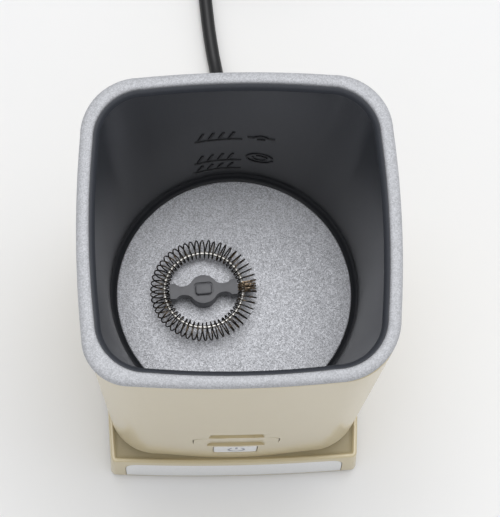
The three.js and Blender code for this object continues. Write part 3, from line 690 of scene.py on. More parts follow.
FINISH_MAKERS = {
    "beige_enamel": lambda s: enamel_finish(s.frother_jug.enamel),
    "tray_enamel": lambda s: tray_shade_finish(s.frother_jug.enamel),
    "silver_paint": lambda s: silver_paint_finish(s.frother_jug.paint),
    "badge_silver": lambda s: badge_finish(s.frother_jug.badge),
    "charcoal_coating": lambda s: lining_finish(s.frother_chamber.lining),
    "sparkle_coating": lambda s: sparkle_finish(s.frother_chamber.floor),
    "dark_plastic": lambda s: hub_finish(s.frother_whisk.hub),
    "black_plastic": lambda s: moulding_finish(),
    "steel": lambda s: steel_finish(),
    "spring_wire": lambda s: glinting_wire_finish(),
    "worn_wire": lambda s: join_glint_wire_finish(),
    "ring_steel": lambda s: ring_steel_finish(),
    "black_rubber": lambda s: rubber_finish(s.frother_cord.rubber),
    "brass": lambda s: brass_finish(),
    "board_green": lambda s: board_finish(),
    "white_plastic": lambda s: white_plastic_finish(),
    "mark_black": lambda s: mark_shade_finish(),
    "grey_ink": lambda s: symbol_finish(),
    "studio_floor": lambda s: studio_floor_finish(s.frother_stage.floor),
}


finishes_made = {}


def finish(name):
    """The named finish, made the first time it is asked for."""
    if name not in finishes_made:
        finishes_made[name] = FINISH_MAKERS[name](bpy.context.scene)
    return finishes_made[name]


# ---- geometry-nodes helpers ----
def new_tree(name, inputs):
    """Geometry tree with named inputs; returns it, its group input node and an adder."""
    tree = bpy.data.node_groups.new(name, "GeometryNodeTree")
    for label, kind, value in inputs:
        socket = tree.interface.new_socket(name=label, in_out="INPUT", socket_type=kind)
        if value is not None:
            socket.default_value = value
    tree.interface.new_socket(name="Geometry", in_out="OUTPUT", socket_type="NodeSocketGeometry")
    given = tree.nodes.new("NodeGroupInput")

    def add(kind, *links, **settings):
        node = tree.nodes.new(kind)
        for key, value in settings.items():
            setattr(node, key, value)
        for slot, value in links:
            if isinstance(value, bpy.types.NodeSocket):
                tree.links.new(value, node.inputs[slot])
            else:
                node.inputs[slot].default_value = value
        return node

    return tree, given, add


def calculator(add):
    def calc(operation, a, b=0.0):
        return add("ShaderNodeMath", (0, a), (1, b), operation=operation).outputs[0]
    return calc


def close_tree(tree, add, geometry, material):
    """Ends a tree in Realize Instances and Set Material."""
    real = add("GeometryNodeRealizeInstances", ("Geometry", geometry))
    painted = add("GeometryNodeSetMaterial", ("Geometry", real.outputs["Geometry"]), ("Material", material))
    out = tree.nodes.new("NodeGroupOutput")
    tree.links.new(painted.outputs["Geometry"], out.inputs["Geometry"])


def grown(name, tree, values, points=()):
    """Runs a tree on a new piece with the given input values and keeps the plain mesh."""
    piece = points_piece(name, points)
    step = piece.modifiers.new("Grow", "NODES")
    step.node_group = tree
    for item in tree.interface.items_tree:
        if item.in_out == "INPUT" and item.name in values:
            step[item.identifier] = values[item.name]
    settle(piece)
    tidy_mesh(piece)
    return piece


def coil_tree():
    """Wire wound round a ring: a helix whose axis is an arc of a circle."""
    tree, given, add = new_tree("wound_wire", [
        ("Turns", "NodeSocketInt", 50), ("Steps", "NodeSocketInt", 18),
        ("Start", "NodeSocketFloat", 0.0), ("Sweep", "NodeSocketFloat", 2 * math.pi),
        ("Ring radius", "NodeSocketFloat", 0.0162), ("Coil radius", "NodeSocketFloat", 0.00285),
        ("Coil height", "NodeSocketFloat", 0.0026), ("Wire radius", "NodeSocketFloat", 0.00023),
        ("Lean", "NodeSocketFloat", 0.0), ("Unevenness", "NodeSocketFloat", 0.05),
        ("Seed", "NodeSocketFloat", 7.0), ("Material", "NodeSocketMaterial", None),
    ])
    calc = calculator(add)
    g = given.outputs
    count = calc("MULTIPLY", g["Turns"], g["Steps"])
    line = add("GeometryNodeMeshLine", ("Count", calc("ADD", count, 1.0)))
    curve = add("GeometryNodeMeshToCurve", ("Mesh", line.outputs["Mesh"]))
    index = add("GeometryNodeInputIndex").outputs[0]
    part = calc("DIVIDE", index, count)
    wobble = add("ShaderNodeTexNoise", ("W", calc("ADD", g["Seed"], calc("MULTIPLY", part, 40.0))),
                 ("Scale", 1.0), ("Detail", 1.0), noise_dimensions="1D").outputs["Fac"]
    uneven = calc("MULTIPLY", calc("SUBTRACT", wobble, 0.5), g["Unevenness"])
    phase = calc("ADD", calc("MULTIPLY", calc("DIVIDE", index, g["Steps"]), 2 * math.pi),
                 calc("MULTIPLY", uneven, 18.0))
    swell = calc("ADD", uneven, 1.0)
    angle = calc("ADD", calc("ADD", g["Start"], calc("MULTIPLY", part, g["Sweep"])),
                 calc("MULTIPLY", g["Lean"], calc("SINE", phase)))
    reach = calc("ADD", g["Ring radius"],
                 calc("MULTIPLY", calc("MULTIPLY", g["Coil radius"], swell), calc("COSINE", phase)))
    height = calc("MULTIPLY", calc("MULTIPLY", g["Coil height"], swell), calc("SINE", phase))
    spot = add("ShaderNodeCombineXYZ", ("X", calc("MULTIPLY", reach, calc("COSINE", angle))),
               ("Y", calc("MULTIPLY", reach, calc("SINE", angle))), ("Z", height))
    bent = add("GeometryNodeSetPosition", ("Geometry", curve.outputs["Curve"]),
               ("Position", spot.outputs["Vector"]))
    section = add("GeometryNodeCurvePrimitiveCircle", ("Resolution", 7), ("Radius", g["Wire radius"]))
    wire = add("GeometryNodeCurveToMesh", ("Curve", bent.outputs["Geometry"]),
               ("Profile Curve", section.outputs["Curve"]), ("Fill Caps", True))
    close_tree(tree, add, wire.outputs["Mesh"], g["Material"])
    return tree


def copies_tree():
    """One pattern piece repeated at every point, each turned by a random angle."""
    tree, given, add = new_tree("copies_at_points", [
        ("Geometry", "NodeSocketGeometry", None), ("Pattern", "NodeSocketObject", None),
        ("Turn", "NodeSocketFloat", 0.0), ("Seed", "NodeSocketInt", 3),
        ("Material", "NodeSocketMaterial", None),
    ])
    g = given.outputs
    pattern = add("GeometryNodeObjectInfo", ("Object", g["Pattern"]))
    spin = add("FunctionNodeRandomValue", ("Seed", g["Seed"]), data_type="FLOAT")
    tree.links.new(g["Turn"], spin.inputs[3])
    turn = add("ShaderNodeCombineXYZ", ("Z", spin.outputs[1]))
    placed = add("GeometryNodeInstanceOnPoints", ("Points", g["Geometry"]),
                 ("Instance", pattern.outputs["Geometry"]), ("Rotation", turn.outputs["Vector"]))
    close_tree(tree, add, placed.outputs["Instances"], g["Material"])
    return tree


def rib_tree():
    """Rings along a tapering sleeve, from its wide end to its narrow one."""
    tree, given, add = new_tree("sleeve_ribs", [
        ("Ribs", "NodeSocketInt", 7), ("Start", "NodeSocketFloat", 0.06), ("Pitch", "NodeSocketFloat", 0.004),
        ("Wide", "NodeSocketFloat", 0.0046), ("Narrow", "NodeSocketFloat", 0.0034),
        ("Rib radius", "NodeSocketFloat", 0.0006), ("Height", "NodeSocketFloat", 0.009),
        ("Material", "NodeSocketMaterial", None),
    ])
    calc = calculator(add)
    g = given.outputs
    start = add("ShaderNodeCombineXYZ", ("Y", g["Start"]), ("Z", g["Height"]))
    step = add("ShaderNodeCombineXYZ", ("Y", g["Pitch"]))
    line = add("GeometryNodeMeshLine", ("Count", g["Ribs"]), ("Start Location", start.outputs["Vector"]),
               ("Offset", step.outputs["Vector"]))
    part = calc("DIVIDE", add("GeometryNodeInputIndex").outputs[0], calc("SUBTRACT", g["Ribs"], 1.0))
    size = calc("ADD", g["Wide"], calc("MULTIPLY", part, calc("SUBTRACT", g["Narrow"], g["Wide"])))
    hoop = add("GeometryNodeCurvePrimitiveCircle", ("Resolution", 40), ("Radius", 1.0))
    placed = add("GeometryNodeInstanceOnPoints", ("Points", line.outputs["Mesh"]),
                 ("Instance", hoop.outputs["Curve"]), ("Rotation", (math.pi / 2, 0, 0)), ("Scale", size))
    hoops = add("GeometryNodeRealizeInstances", ("Geometry", placed.outputs["Instances"]))
    section = add("GeometryNodeCurvePrimitiveCircle", ("Resolution", 10), ("Radius", g["Rib radius"]))
    ribs = add("GeometryNodeCurveToMesh", ("Curve", hoops.outputs["Geometry"]),
               ("Profile Curve", section.outputs["Curve"]))
    close_tree(tree, add, ribs.outputs["Mesh"], g["Material"])
    return tree


def tree_of(maker):
    """A geometry tree, made once and shared."""
    if not hasattr(maker, "tree"):
        maker.tree = maker()
    return maker.tree


# ---- camera and stage ----
CAMERA_SPOT = (-18.9, -187.1, RIM_TOP + 682)
CAMERA_DIP = math.radians(75.4)
CAMERA_YAW = math.radians(7.11)
CAMERA_ROLL = math.radians(5.87)


def set_camera(settings):
    ahead = Vector((math.sin(CAMERA_YAW) * math.cos(CAMERA_DIP),
                    math.cos(CAMERA_YAW) * math.cos(CAMERA_DIP), -math.sin(CAMERA_DIP)))
    level = Vector((math.cos(CAMERA_YAW), -math.sin(CAMERA_YAW), 0))
    upward = level.cross(ahead)
    right = level * math.cos(CAMERA_ROLL) + upward * math.sin(CAMERA_ROLL)
    top = upward * math.cos(CAMERA_ROLL) - level * math.sin(CAMERA_ROLL)
    data = bpy.data.cameras.new("camera")
    data.sensor_fit = "HORIZONTAL"
    data.sensor_width = 36
    data.lens = settings.focal
    data.clip_start, data.clip_end = 0.05, 20
    camera = added("camera", data)
    turn = Matrix((right, top, -ahead)).transposed().to_4x4()
    camera.matrix_world = Matrix.Translation(Vector(CAMERA_SPOT) * MM) @ turn
    bpy.context.scene.camera = camera


def soft_light(name, spot, power, size):
    data = bpy.data.lights.new(name, "AREA")
    data.shape = "RECTANGLE"
    data.size, data.size_y = size
    data.energy = power
    light = added(name, data)
    light.location = spot
    light.rotation_euler = (Vector(LAMP_AIM) - Vector(spot)).to_track_quat("-Z", "Y").to_euler()


# each lamp's name, which is also its power setting's, its place and its size, in metres
LAMPS = (
    ("back_lamp", (0.08, 0.31, 1.5), (0.9, 0.8)),
    ("right_lamp", (1.3, 0.1, 0.9), (0.9, 0.9)),
)
LAMP_AIM = (0, 0, 0.08)
STUDIO_HALF = 8000
STUDIO_LEVEL = -0.05                   # just under the feet


def sky_by_height(tree, glow, settings):
    """Sky that brightens from the horizon to overhead."""
    upward = axes(tree, tree.nodes.new("ShaderNodeTexCoord").outputs["Generated"])["Z"]
    tree.links.new(ranged(tree, upward, settings.horizon, settings.sky), glow.inputs["Strength"])


class FROTHER_OT_stage(bpy.types.Operator):
    """Make the camera, lights and pale studio floor"""
    bl_idname = "frother.stage"
    bl_label = "Camera, lights and floor"

    def execute(self, context):
        settings = context.scene.frother_stage
        set_camera(settings)
        corners = box_outline(-STUDIO_HALF, -STUDIO_HALF, STUDIO_HALF, STUDIO_HALF)
        floor = mesh_piece("studio_floor", [(x, y, STUDIO_LEVEL) for x, y in corners], [(0, 1, 2, 3)])
        floor.data.materials.append(finish("studio_floor"))
        world = bpy.data.worlds.new("studio")
        context.scene.world = world
        world.use_nodes = True
        glow = world.node_tree.nodes["Background"]
        glow.inputs["Color"].default_value = (0.97, 0.98, 1, 1)
        sky_by_height(world.node_tree, glow, settings)
        for name, spot, size in LAMPS:
            soft_light(name, spot, getattr(settings, name), size)
        context.scene.view_settings.view_transform = "Standard"
        return {"FINISHED"}


# ---- mains cord ----
# Free run from the strain relief down to the table and back to the coil
CORD_RUN = [
    (0, 88.3, 9), (-0.4, 94, 8.5), (-1.5, 101, 6.2), (-2.8, 108, 3.8), (-3.8, 114, 2.8),
    (-4.9, 121, 2.7), (-6, 130, 2.7), (-7, 141, 2.7), (-7.9, 154, 2.7), (-8.3, 169, 2.7),
    (-8.4, 183.5, 2.7),
]
CORD_TAIL = [
    (49.5, 192, 13.9), (46, 186, 15.4), (41, 181.4, 16.9), (35, 178.8, 17.7), (28.3, 178, 17.9),
]
COIL_SPOT = Vector((24, 203))
COIL_OUTER = 32.4                      # radius of the outer turns
COIL_INNER = 27
COIL_LOW = CORD_RADIUS
COIL_HIGH = 3 * CORD_RADIUS
CORD_SPACING = 2.5                     # between the points of its path
# degrees of winding over which the coil moves inwards, up a layer and outwards again
STEP_IN = (300, 360)
STEP_UP = (600, 660)
STEP_OUT = (900, 960)
TIE_ANGLE = 90                         # degrees from +X, where the tie holds the coil
TIE_THICK = 0.8
TIE_WIDTH = 7


def eased_step(value, start, end):
    t = min(1, max(0, (value - start) / (end - start)))
    return t * t * (3 - 2 * t)


def coil_turns():
    """Turns of the coil, two across and two high, wound clockwise from its left side."""
    end = Vector(CORD_TAIL[0])
    end_radius = (end.xy - COIL_SPOT).length
    last = 3 * 360 + 180 - math.degrees(math.atan2(end.y - COIL_SPOT.y, end.x - COIL_SPOT.x))
    path = []
    for progress in range(10, int(last), 8):
        angle = 180 - progress
        radius = COIL_OUTER + (COIL_INNER - COIL_OUTER) * (
            eased_step(progress, *STEP_IN) - eased_step(progress, *STEP_OUT))
        height = COIL_LOW + (COIL_HIGH - COIL_LOW) * eased_step(progress, *STEP_UP)
        leave = eased_step(progress, last - 66, last + 8)
        radius += (end_radius - COIL_OUTER) * leave
        height += (end.z - COIL_HIGH) * leave
        off_tie = abs((angle - TIE_ANGLE + 180) % 360 - 180)
        height += TIE_THICK * (1 - eased_step(off_tie, 8, 30))
        a = math.radians(angle)
        path.append((COIL_SPOT.x + radius * math.cos(a), COIL_SPOT.y + radius * math.sin(a), height))
    return path


def path_length(path):
    return sum((b - a).length for a, b in zip(path, path[1:]))


class FROTHER_OT_cord(bpy.types.Operator):
    """Lay the mains cord, its tie and its two-pin plug"""
    bl_idname = "frother.cord"
    bl_label = "Mains cord and plug"

    def execute(self, context):
        diameter = context.scene.frother_cord.diameter
        path = smooth_path(CORD_RUN + coil_turns() + CORD_TAIL, CORD_SPACING)
        cord = tube("mains_cord", path, diameter / MM / 2)
        place(cord, "base", ("cord", "cord_coil", "cord_tail"), "black_rubber", crease=60)
        plug = make_plug()
        pins, sleeves = make_pins()
        tie = make_tie()
        round(path_length(path) * MM, 4)
        return {"FINISHED"}


PLUG_REAR = 28
PLUG_LENGTH = 35
PLUG_THICK = 13.6
PLUG_Y = 178
PLUG_LOW = 4 * CORD_RADIUS + GAP
PLUG_MIDDLE = PLUG_LOW + PLUG_THICK / 2
PIN_SPACING = 18.6
PIN_LENGTH = 19
SLEEVE_LENGTH = 10


def make_plug():
    """Flat plug body: narrow at the cord, wide and square at the pins."""
    front = PLUG_REAR - PLUG_LENGTH
    half = curve_through(
        (PLUG_REAR, 4.5), ((PLUG_REAR - 8, 5.5), (PLUG_REAR - 12, 13)),
        ((PLUG_REAR - 15, 17.6), (PLUG_REAR - 20, 17.6)), (front + 3, 17.6), (front, 13),
    )
    shape = [(x, PLUG_Y + y) for x, y in half] + [(x, PLUG_Y - y) for x, y in reversed(half)]
    plug = raised_prism("plug_shell", shape, PLUG_LOW, PLUG_LOW + PLUG_THICK)
    eased(plug, 2.2, 5, 25)
    top = PLUG_LOW + PLUG_THICK
    for x in (PLUG_REAR - 22, PLUG_REAR - 25, PLUG_REAR - 28):
        shape = box_outline(x, PLUG_Y - 9, x + 1.2, PLUG_Y + 9)
        worked(plug, "DIFFERENCE", raised_prism("groove", shape, top - 0.7, top + 1))
    return place(plug, "base", ("plug",), "black_plastic")


def pin_profile(start, end, radius, tip):
    return softened([(0.01, start), (radius, start), (radius, end, tip), (0.01, end)], steps=5)


def make_pins():
    """Two round pins, sleeved next to the plug."""
    front = PLUG_REAR - PLUG_LENGTH - GAP
    parts = {"pin": [], "sleeve": []}
    for side in (1, -1):
        y = PLUG_Y + side * PIN_SPACING / 2
        for kind, reach in (("sleeve", (0, SLEEVE_LENGTH, 2.0, 0.2)),
                            ("pin", (SLEEVE_LENGTH, PIN_LENGTH, 1.95, 1.2))):
            rod = turned(f"{kind}_{side}", pin_profile(*reach), steps=32)
            rod.data.transform(Matrix.Rotation(-math.pi / 2, 4, "Y"))
            rod.data.transform(Matrix.Translation(Vector((front, y, PLUG_MIDDLE)) * MM))
            parts[kind].append(rod)
    pins = merged("plug_pins", parts["pin"])
    sleeves = merged("pin_sleeves", parts["sleeve"])
    place(pins, "base", ("plug_pin_1", "plug_pin_2"), "brass")
    place(sleeves, "base", ("plug_pin_1", "plug_pin_2"), "black_plastic")
    return pins, sleeves


def merged(name, pieces):
    """Several pieces as one mesh piece."""
    shape = bmesh.new()
    for piece in pieces:
        shape.from_mesh(piece.data)
        bpy.data.objects.remove(piece)
    mesh = bpy.data.meshes.new(name)
    shape.to_mesh(mesh)
    shape.free()
    return added(name, mesh)


def make_tie():
    """Flat strap round the coil's four strands."""
    x, y = COIL_SPOT.x, COIL_SPOT.y + (COIL_OUTER + COIL_INNER) / 2
    half = 2 * CORD_RADIUS + TIE_THICK
    outer = rounded_box_outline(half, half, 2.9)
    inner = rounded_box_outline(half - TIE_THICK, half - TIE_THICK, 2.3)
    rings = [[(x + side * TIE_WIDTH / 2, y + a, half + b) for a, b in shape]
             for side, shape in ((-1, outer), (1, outer), (1, inner), (-1, inner))]
    tie = through_rings("cord_strap", rings, looped=True)
    eased(tie, 0.15, 2)
    return place(tie, "base", ("cord_tie",), "black_plastic")


# ---- jug: enamelled body, panel and key ----
def body_spec(z):
    return mixed(BODY_FOOT, BODY_HEAD, (z - BODY_BOTTOM) / (BODY_TOP - BODY_BOTTOM))


SEAM = 0.6                             # how far the body stops short under the rim's dark seam


def body_blank(name, wall, edge):
    """The body's hollow wall, open at both ends, in bands short enough to cut cleanly."""
    bands = [BODY_BOTTOM + 4 + 6 * i for i in range(24)]
    outer = [(1.2, BODY_BOTTOM, edge), (0, BODY_BOTTOM + 1.2, edge), *[(0, z) for z in bands[:-1]],
             (0, BODY_TOP - SEAM - 0.4, edge), (0.3, BODY_TOP - SEAM, edge)]
    inner = [(wall, BODY_TOP - SEAM), *[(wall, z) for z in reversed(bands)], (wall, BODY_BOTTOM)]
    rings = [ring(body_spec(z), inward, z) for inward, z in softened(outer + inner, closed=True)]
    return through_rings(name, rings, looped=True)


PANEL_HALF = 15.6
PANEL_LOW = 24
PANEL_HIGH = 62
PANEL_ARCH = 2.4
PANEL_CLOSES = 50                      # below this height the side gaps close to a hairline
HAIRLINE = 0.004
KEY_HALF = 8.1
KEY_LOW = 30
KEY_HIGH = 44
KEY_CORNER = 1.2
KEY_SUNK = 0.15                        # how far its face lies behind the wall's
KEY_BACK = -46.9
SYMBOL_SPOT = (0.4, 36.6)
UPPER_SCOOP = {"half": 10.2, "low": 64.3, "high": 72, "depth": 2.1, "wall_y": -50.7}
LOWER_SCOOP = {"half": 10.9, "low": 46.4, "high": 55, "depth": 1.8, "wall_y": -50.4}


def panel_outline(grow, foot_grow):
    """Panel outline in X and Z: rounded shoulders under an arched top."""
    half, foot = PANEL_HALF + grow, PANEL_HALF + foot_grow
    high = PANEL_HIGH + grow
    right = curve_through((foot, PANEL_LOW - foot_grow), (foot, PANEL_CLOSES), (half, PANEL_CLOSES + 4),
                          (half, high - 4), ((half, high), (half - 5, high + 0.6)))
    left = [(-x, z) for x, z in reversed(right)]
    arch = curve_through(right[-1], ((0, high + 2 * PANEL_ARCH), left[0]), steps=16)
    return right + arch[1:-1] + left


def finger_scoop(name, half, low, high, depth, wall_y):
    """Cutter for a scoop in the front wall: a ledge at its lower edge, sloping out above."""
    rings = []
    for x in [half * (i / 12 - 1) for i in range(25)]:
        deep = depth * (1 - abs(x / half) ** 8)
        middle = (low + high) / 2
        rings.append([(x, FRONT_FAR, low), (x, wall_y + deep, low), (x, wall_y + deep * 0.7, middle),
                      (x, wall_y - 0.2, high), (x, FRONT_FAR, high)])
    return through_rings(name, rings)


def key_outline(grow):
    middle = (KEY_LOW + KEY_HIGH) / 2
    shape = rounded_box_outline(KEY_HALF + grow, (KEY_HIGH - KEY_LOW) / 2 + grow, KEY_CORNER + grow)
    return [(x, z + middle) for x, z in shape]


class FROTHER_OT_body(bpy.types.Operator):
    """Make the enamelled body with its control panel and power key"""
    bl_idname = "frother.body"
    bl_label = "Body, panel and key"

    def execute(self, context):
        jug = context.scene.frother_jug
        wall, edge, gap = jug.wall / MM, jug.edge / MM, jug.panel_gap / MM
        body = body_blank("body_shell", wall, edge)
        worked(body, "DIFFERENCE", front_prism("opening", panel_outline(gap, HAIRLINE)),
               finger_scoop("upper_scoop", **UPPER_SCOOP))
        place(body, "jug", ("outer_body",), "beige_enamel", crease=30)
        panel = body_blank("key_panel", wall, edge)
        worked(panel, "INTERSECT", front_prism("panel_form", panel_outline(0, 0)))
        worked(panel, "DIFFERENCE", front_prism("key_window", key_outline(GAP)),
               finger_scoop("lower_scoop", **LOWER_SCOOP))
        place(panel, "jug", ("control_panel",), "beige_enamel", crease=30)
        make_key()
        return {"FINISHED"}


def make_key():
    """Silver key that follows the front wall, with its symbol and the stem behind it."""
    zs = [KEY_LOW - 4 + 2 * i for i in range(12)]
    shell = through_rings("key_cap", [ring(body_spec(z), KEY_SUNK, z) for z in zs])
    worked(shell, "INTERSECT", front_prism("key_form", key_outline(0), back=KEY_BACK))
    eased(shell, 0.35, 3, 50)
    stem = turned("stem", [(0.01, -47.4), (1.6, -47.4), (1.6, -45.2), (1.4, -45), (0.01, -45)],
                  centre=(0, 0, (KEY_LOW + KEY_HIGH) / 2), steps=32, along_y=True)
    worked(shell, "UNION", stem)
    place(shell, "key", ("power_key",), "silver_paint", "badge_silver")
    place(power_symbol(), "key", ("power_key",), "silver_paint", "grey_ink")


def ribbon(name, line, width, low, high, spot):
    """Raised stroke along a flat line; spot(a, b, off) puts it on its surface."""
    points, faces = [], []
    count = len(line)
    for i, (a, b) in enumerate(line):
        before, after = Vector(line[max(i - 1, 0)]), Vector(line[min(i + 1, count - 1)])
        ahead = (after - before).normalized()
        side = Vector((-ahead.y, ahead.x)) * width / 2
        for sign, off in ((1, low), (-1, low), (-1, high), (1, high)):
            points.append(spot(a + sign * side.x, b + sign * side.y, off))
    for i in range(count - 1):
        for k in range(4):
            n = (k + 1) % 4
            faces.append((4 * i + k, 4 * i + n, 4 * i + 4 + n, 4 * i + 4 + k))
    faces += [(3, 2, 1, 0), tuple(4 * (count - 1) + k for k in range(4))]
    return mesh_piece(name, points, faces)


def arc_line(x, y, rx, ry, start, end, steps=20):
    """Points of an elliptic arc, in degrees."""
    angles = [math.radians(start + (end - start) * i / steps) for i in range(steps + 1)]
    return [(x + rx * math.cos(a), y + ry * math.sin(a)) for a in angles]


def wall_y(points, x):
    """Where a wall given by its points lies in Y, at an x within it."""
    line = sorted(points, key=lambda p: p[0])
    for p, q in zip(line, line[1:]):
        if p[0] <= x <= q[0]:
            t = (x - p[0]) / (q[0] - p[0])
            return p[1] + (q[1] - p[1]) * t
    raise ValueError("the x is beyond the wall")


def front_wall_spot(x, z, off):
    """Point on the key's face, off millimetres proud of it."""
    edge = outline(body_spec(z), KEY_SUNK - off)
    return x, wall_y([p for p in edge if p.y < FRONT_NEAR], x), z


def power_symbol():
    """Open ring with a bar through its gap."""
    x, z = SYMBOL_SPOT
    strokes = [arc_line(x, z, 2.9, 3.6, 130, 410, 28), [(x, z + 1.2), (x, z + 4.9)]]
    parts = [ribbon(f"stroke_{i}", line, 0.8, -0.2, 0.06, front_wall_spot) for i, line in enumerate(strokes)]
    return merged("power_symbol", parts)


# ---- jug: rim, lip and chamber ----
class FROTHER_OT_rim(bpy.types.Operator):
    """Make the silver rim and the dark lip inside it"""
    bl_idname = "frother.rim"
    bl_label = "Rim and lip"

    def execute(self, context):
        outside = [(2, BODY_TOP + 0.1), (0.85, BODY_TOP + 0.2), (0.25, BODY_TOP + 0.8),
                   (0.02, BODY_TOP + 1.6), (0, RIM_TOP - 1.9), (0.12, RIM_TOP - 1.2),
                   (0.45, RIM_TOP - 0.6), (0.95, RIM_TOP - 0.25), (1.5, RIM_TOP - 0.1)]
        inside = [(-0.9, RIM_TOP - 0.08), (-0.45, RIM_TOP - 0.25), (-0.12, RIM_TOP - 0.6),
                  (0, RIM_TOP - 1.1), (0, BODY_TOP + 0.4)]
        rings = [ring(RIM, inward, z) for inward, z in outside]
        outer, inner = outline(RIM, 1.5), outline(MOUTH, -0.9)
        rings += [ring_between(outer, inner, t, RIM_TOP - 0.1 * (2 * t - 1) ** 2) for t in (0.25, 0.5, 0.75)]
        rings += [ring(MOUTH, inward, z) for inward, z in inside]
        rim = through_rings("rim_band", rings, looped=True)
        place(rim, "jug", ("rim_bezel",), "silver_paint")

        profile = softened([
            (0.06, BODY_TOP + 0.4), (0.06, RIM_TOP - 0.9, 0.3), (1.1, RIM_TOP - 1.7, 0.8),
            (1.9, RIM_TOP - 3.2, 0.4), (1.9, BODY_TOP + 0.15),
        ], closed=True)
        lip = through_rings("lip_ring", [ring(MOUTH, inward, z) for inward, z in profile], looped=True)
        place(lip, "jug", ("lip_seal",), "charcoal_coating")
        return {"FINISHED"}


CHAMBER_HEAD = BODY_TOP + 0.1
CHAMBER_INWARD = 1.9
LEDGE_RADIUS = 37.5
LINER_WALL = 1.7
FLANGE_INWARD = 2.6
FLANGE_LOW = BODY_TOP - 1.6
DISC_RADIUS = 42.5
DISC_LOW = FLOOR_TOP - 2
SEAL_RADIUS = 38.5                     # inner radius of the floor's seal


def chamber_ring(z, outward=0.0):
    """Chamber wall at a height: the mouth's outline above, a circle at the foot."""
    t = min(1, max(0, (CHAMBER_HEAD - z) / (CHAMBER_HEAD - CHAMBER_FOOT_TOP)))
    points = []
    for p in outline(MOUTH, CHAMBER_INWARD - outward):
        circle = p.normalized() * (CHAMBER_FOOT_RADIUS + outward)
        q = p.lerp(circle, t)
        points.append((q.x, q.y, z))
    return points


def circle_ring(radius, z):
    return [(*(p.normalized() * radius), z) for p in outline(MOUTH, CHAMBER_INWARD)]


def back_wall_spot(x, height, off):
    """Point on the chamber's back wall, height above its floor, off millimetres proud of it."""
    z = FLOOR_TOP + height
    wall = Vector((x, wall_y([p for p in chamber_ring(z) if p[1] > 0], x)))
    spot = wall - wall.normalized() * off
    return spot.x, spot.y, z


# height of each level line above the floor, and how tall the strokes on it are
LEVELS = ((41.4, 5.6), (18.9, 5.4), (9.6, 4.2))
STROKES_AT = (-12.2, -8.6, -5, -1.4)


def level_marks():
    """Level lines with their strokes and two pictures, each line a list of (x, height)."""
    marks = []
    for height, tall in LEVELS:
        marks.append([(-13.6 + 16.8 * i / 12, height) for i in range(13)])
        for x in STROKES_AT:
            marks.append([(x, height + 1.7), (x + 1.6, height + 1.7 + tall)])
    marks.append([(4.9, 43.6), (7.2, 43.6), (8, 44.6), (9.7, 45.4), (11.4, 44.6), (12.2, 43.6), (14.5, 43.6)])
    marks.append([(8.2, 41.9), (11.2, 41.9)])
    marks.append(arc_line(9.7, 22.6, 4.6, 4.4, 20, 350, 26))
    marks.append(arc_line(9.7, 22.6, 2.5, 2.2, 160, 480, 20))
    return marks


class FROTHER_OT_chamber(bpy.types.Operator):
    """Make the chamber's coated wall, level marks, heated floor and its seal"""
    bl_idname = "frother.chamber"
    bl_label = "Chamber"

    def execute(self, context):
        settings = context.scene.frother_chamber
        ledge_low, ledge_high = FLOOR_TOP - 5.4, FLOOR_TOP - 3.4
        heights = [CHAMBER_HEAD - (CHAMBER_HEAD - CHAMBER_FOOT_TOP) * i / 24 for i in range(25)]
        rings = [chamber_ring(z) for z in heights]
        rings += [chamber_ring(ledge_high + 0.5), circle_ring(CHAMBER_FOOT_RADIUS - 0.5, ledge_high),
                  circle_ring(LEDGE_RADIUS, ledge_high), circle_ring(LEDGE_RADIUS, ledge_low),
                  circle_ring(CHAMBER_FOOT_RADIUS + LINER_WALL, ledge_low)]
        rings += [chamber_ring(z, LINER_WALL) for z in reversed(heights[1:]) if z < BODY_TOP - 4]
        rings += [ring(MOUTH, CHAMBER_INWARD - LINER_WALL, FLANGE_LOW),
                  ring(BODY_HEAD, FLANGE_INWARD, FLANGE_LOW), ring(BODY_HEAD, FLANGE_INWARD, CHAMBER_HEAD)]
        wall = through_rings("chamber_wall", rings, looped=True)
        place(wall, "jug", ("chamber_liner",), "charcoal_coating")

        width, proud = settings.mark_width / MM, settings.mark_height / MM
        strokes = [ribbon(f"mark_{i}", line, width, -0.1, proud, back_wall_spot)
                   for i, line in enumerate(level_marks())]
        # the level marks are painted dark for the shade of their relief
        place(merged("level_marks", strokes), "jug", ("chamber_liner",), "charcoal_coating", "mark_black")

        profile = softened([(0.01, DISC_LOW), (DISC_RADIUS, DISC_LOW), (DISC_RADIUS, FLOOR_TOP, 0.5),
                            (DISC_RADIUS - 6, FLOOR_TOP), (0.01, FLOOR_TOP)])
        disc = turned("heated_plate", profile, steps=ROUND_STEPS)
        place(disc, "jug", ("floor_disc",), "sparkle_coating")

        under = DISC_LOW - GAP
        seal_profile = [
            (SEAL_RADIUS, ledge_high + GAP), (CHAMBER_FOOT_RADIUS - GAP, ledge_high + GAP),
            (CHAMBER_FOOT_RADIUS + 0.1, FLOOR_TOP + 2.6), (CHAMBER_FOOT_RADIUS - 0.25, FLOOR_TOP + 1.7),
            (CHAMBER_FOOT_RADIUS - 0.8, FLOOR_TOP + 0.9), (CHAMBER_FOOT_RADIUS - 1.5, FLOOR_TOP + 0.35),
            (DISC_RADIUS + 0.05, FLOOR_TOP), (DISC_RADIUS + 0.05, under), (SEAL_RADIUS, under),
        ]
        seal = turned("floor_gasket", seal_profile, steps=ROUND_STEPS, looped=True)
        place(seal, "jug", ("floor_seal",), "black_rubber", "charcoal_coating")
        return {"FINISHED"}


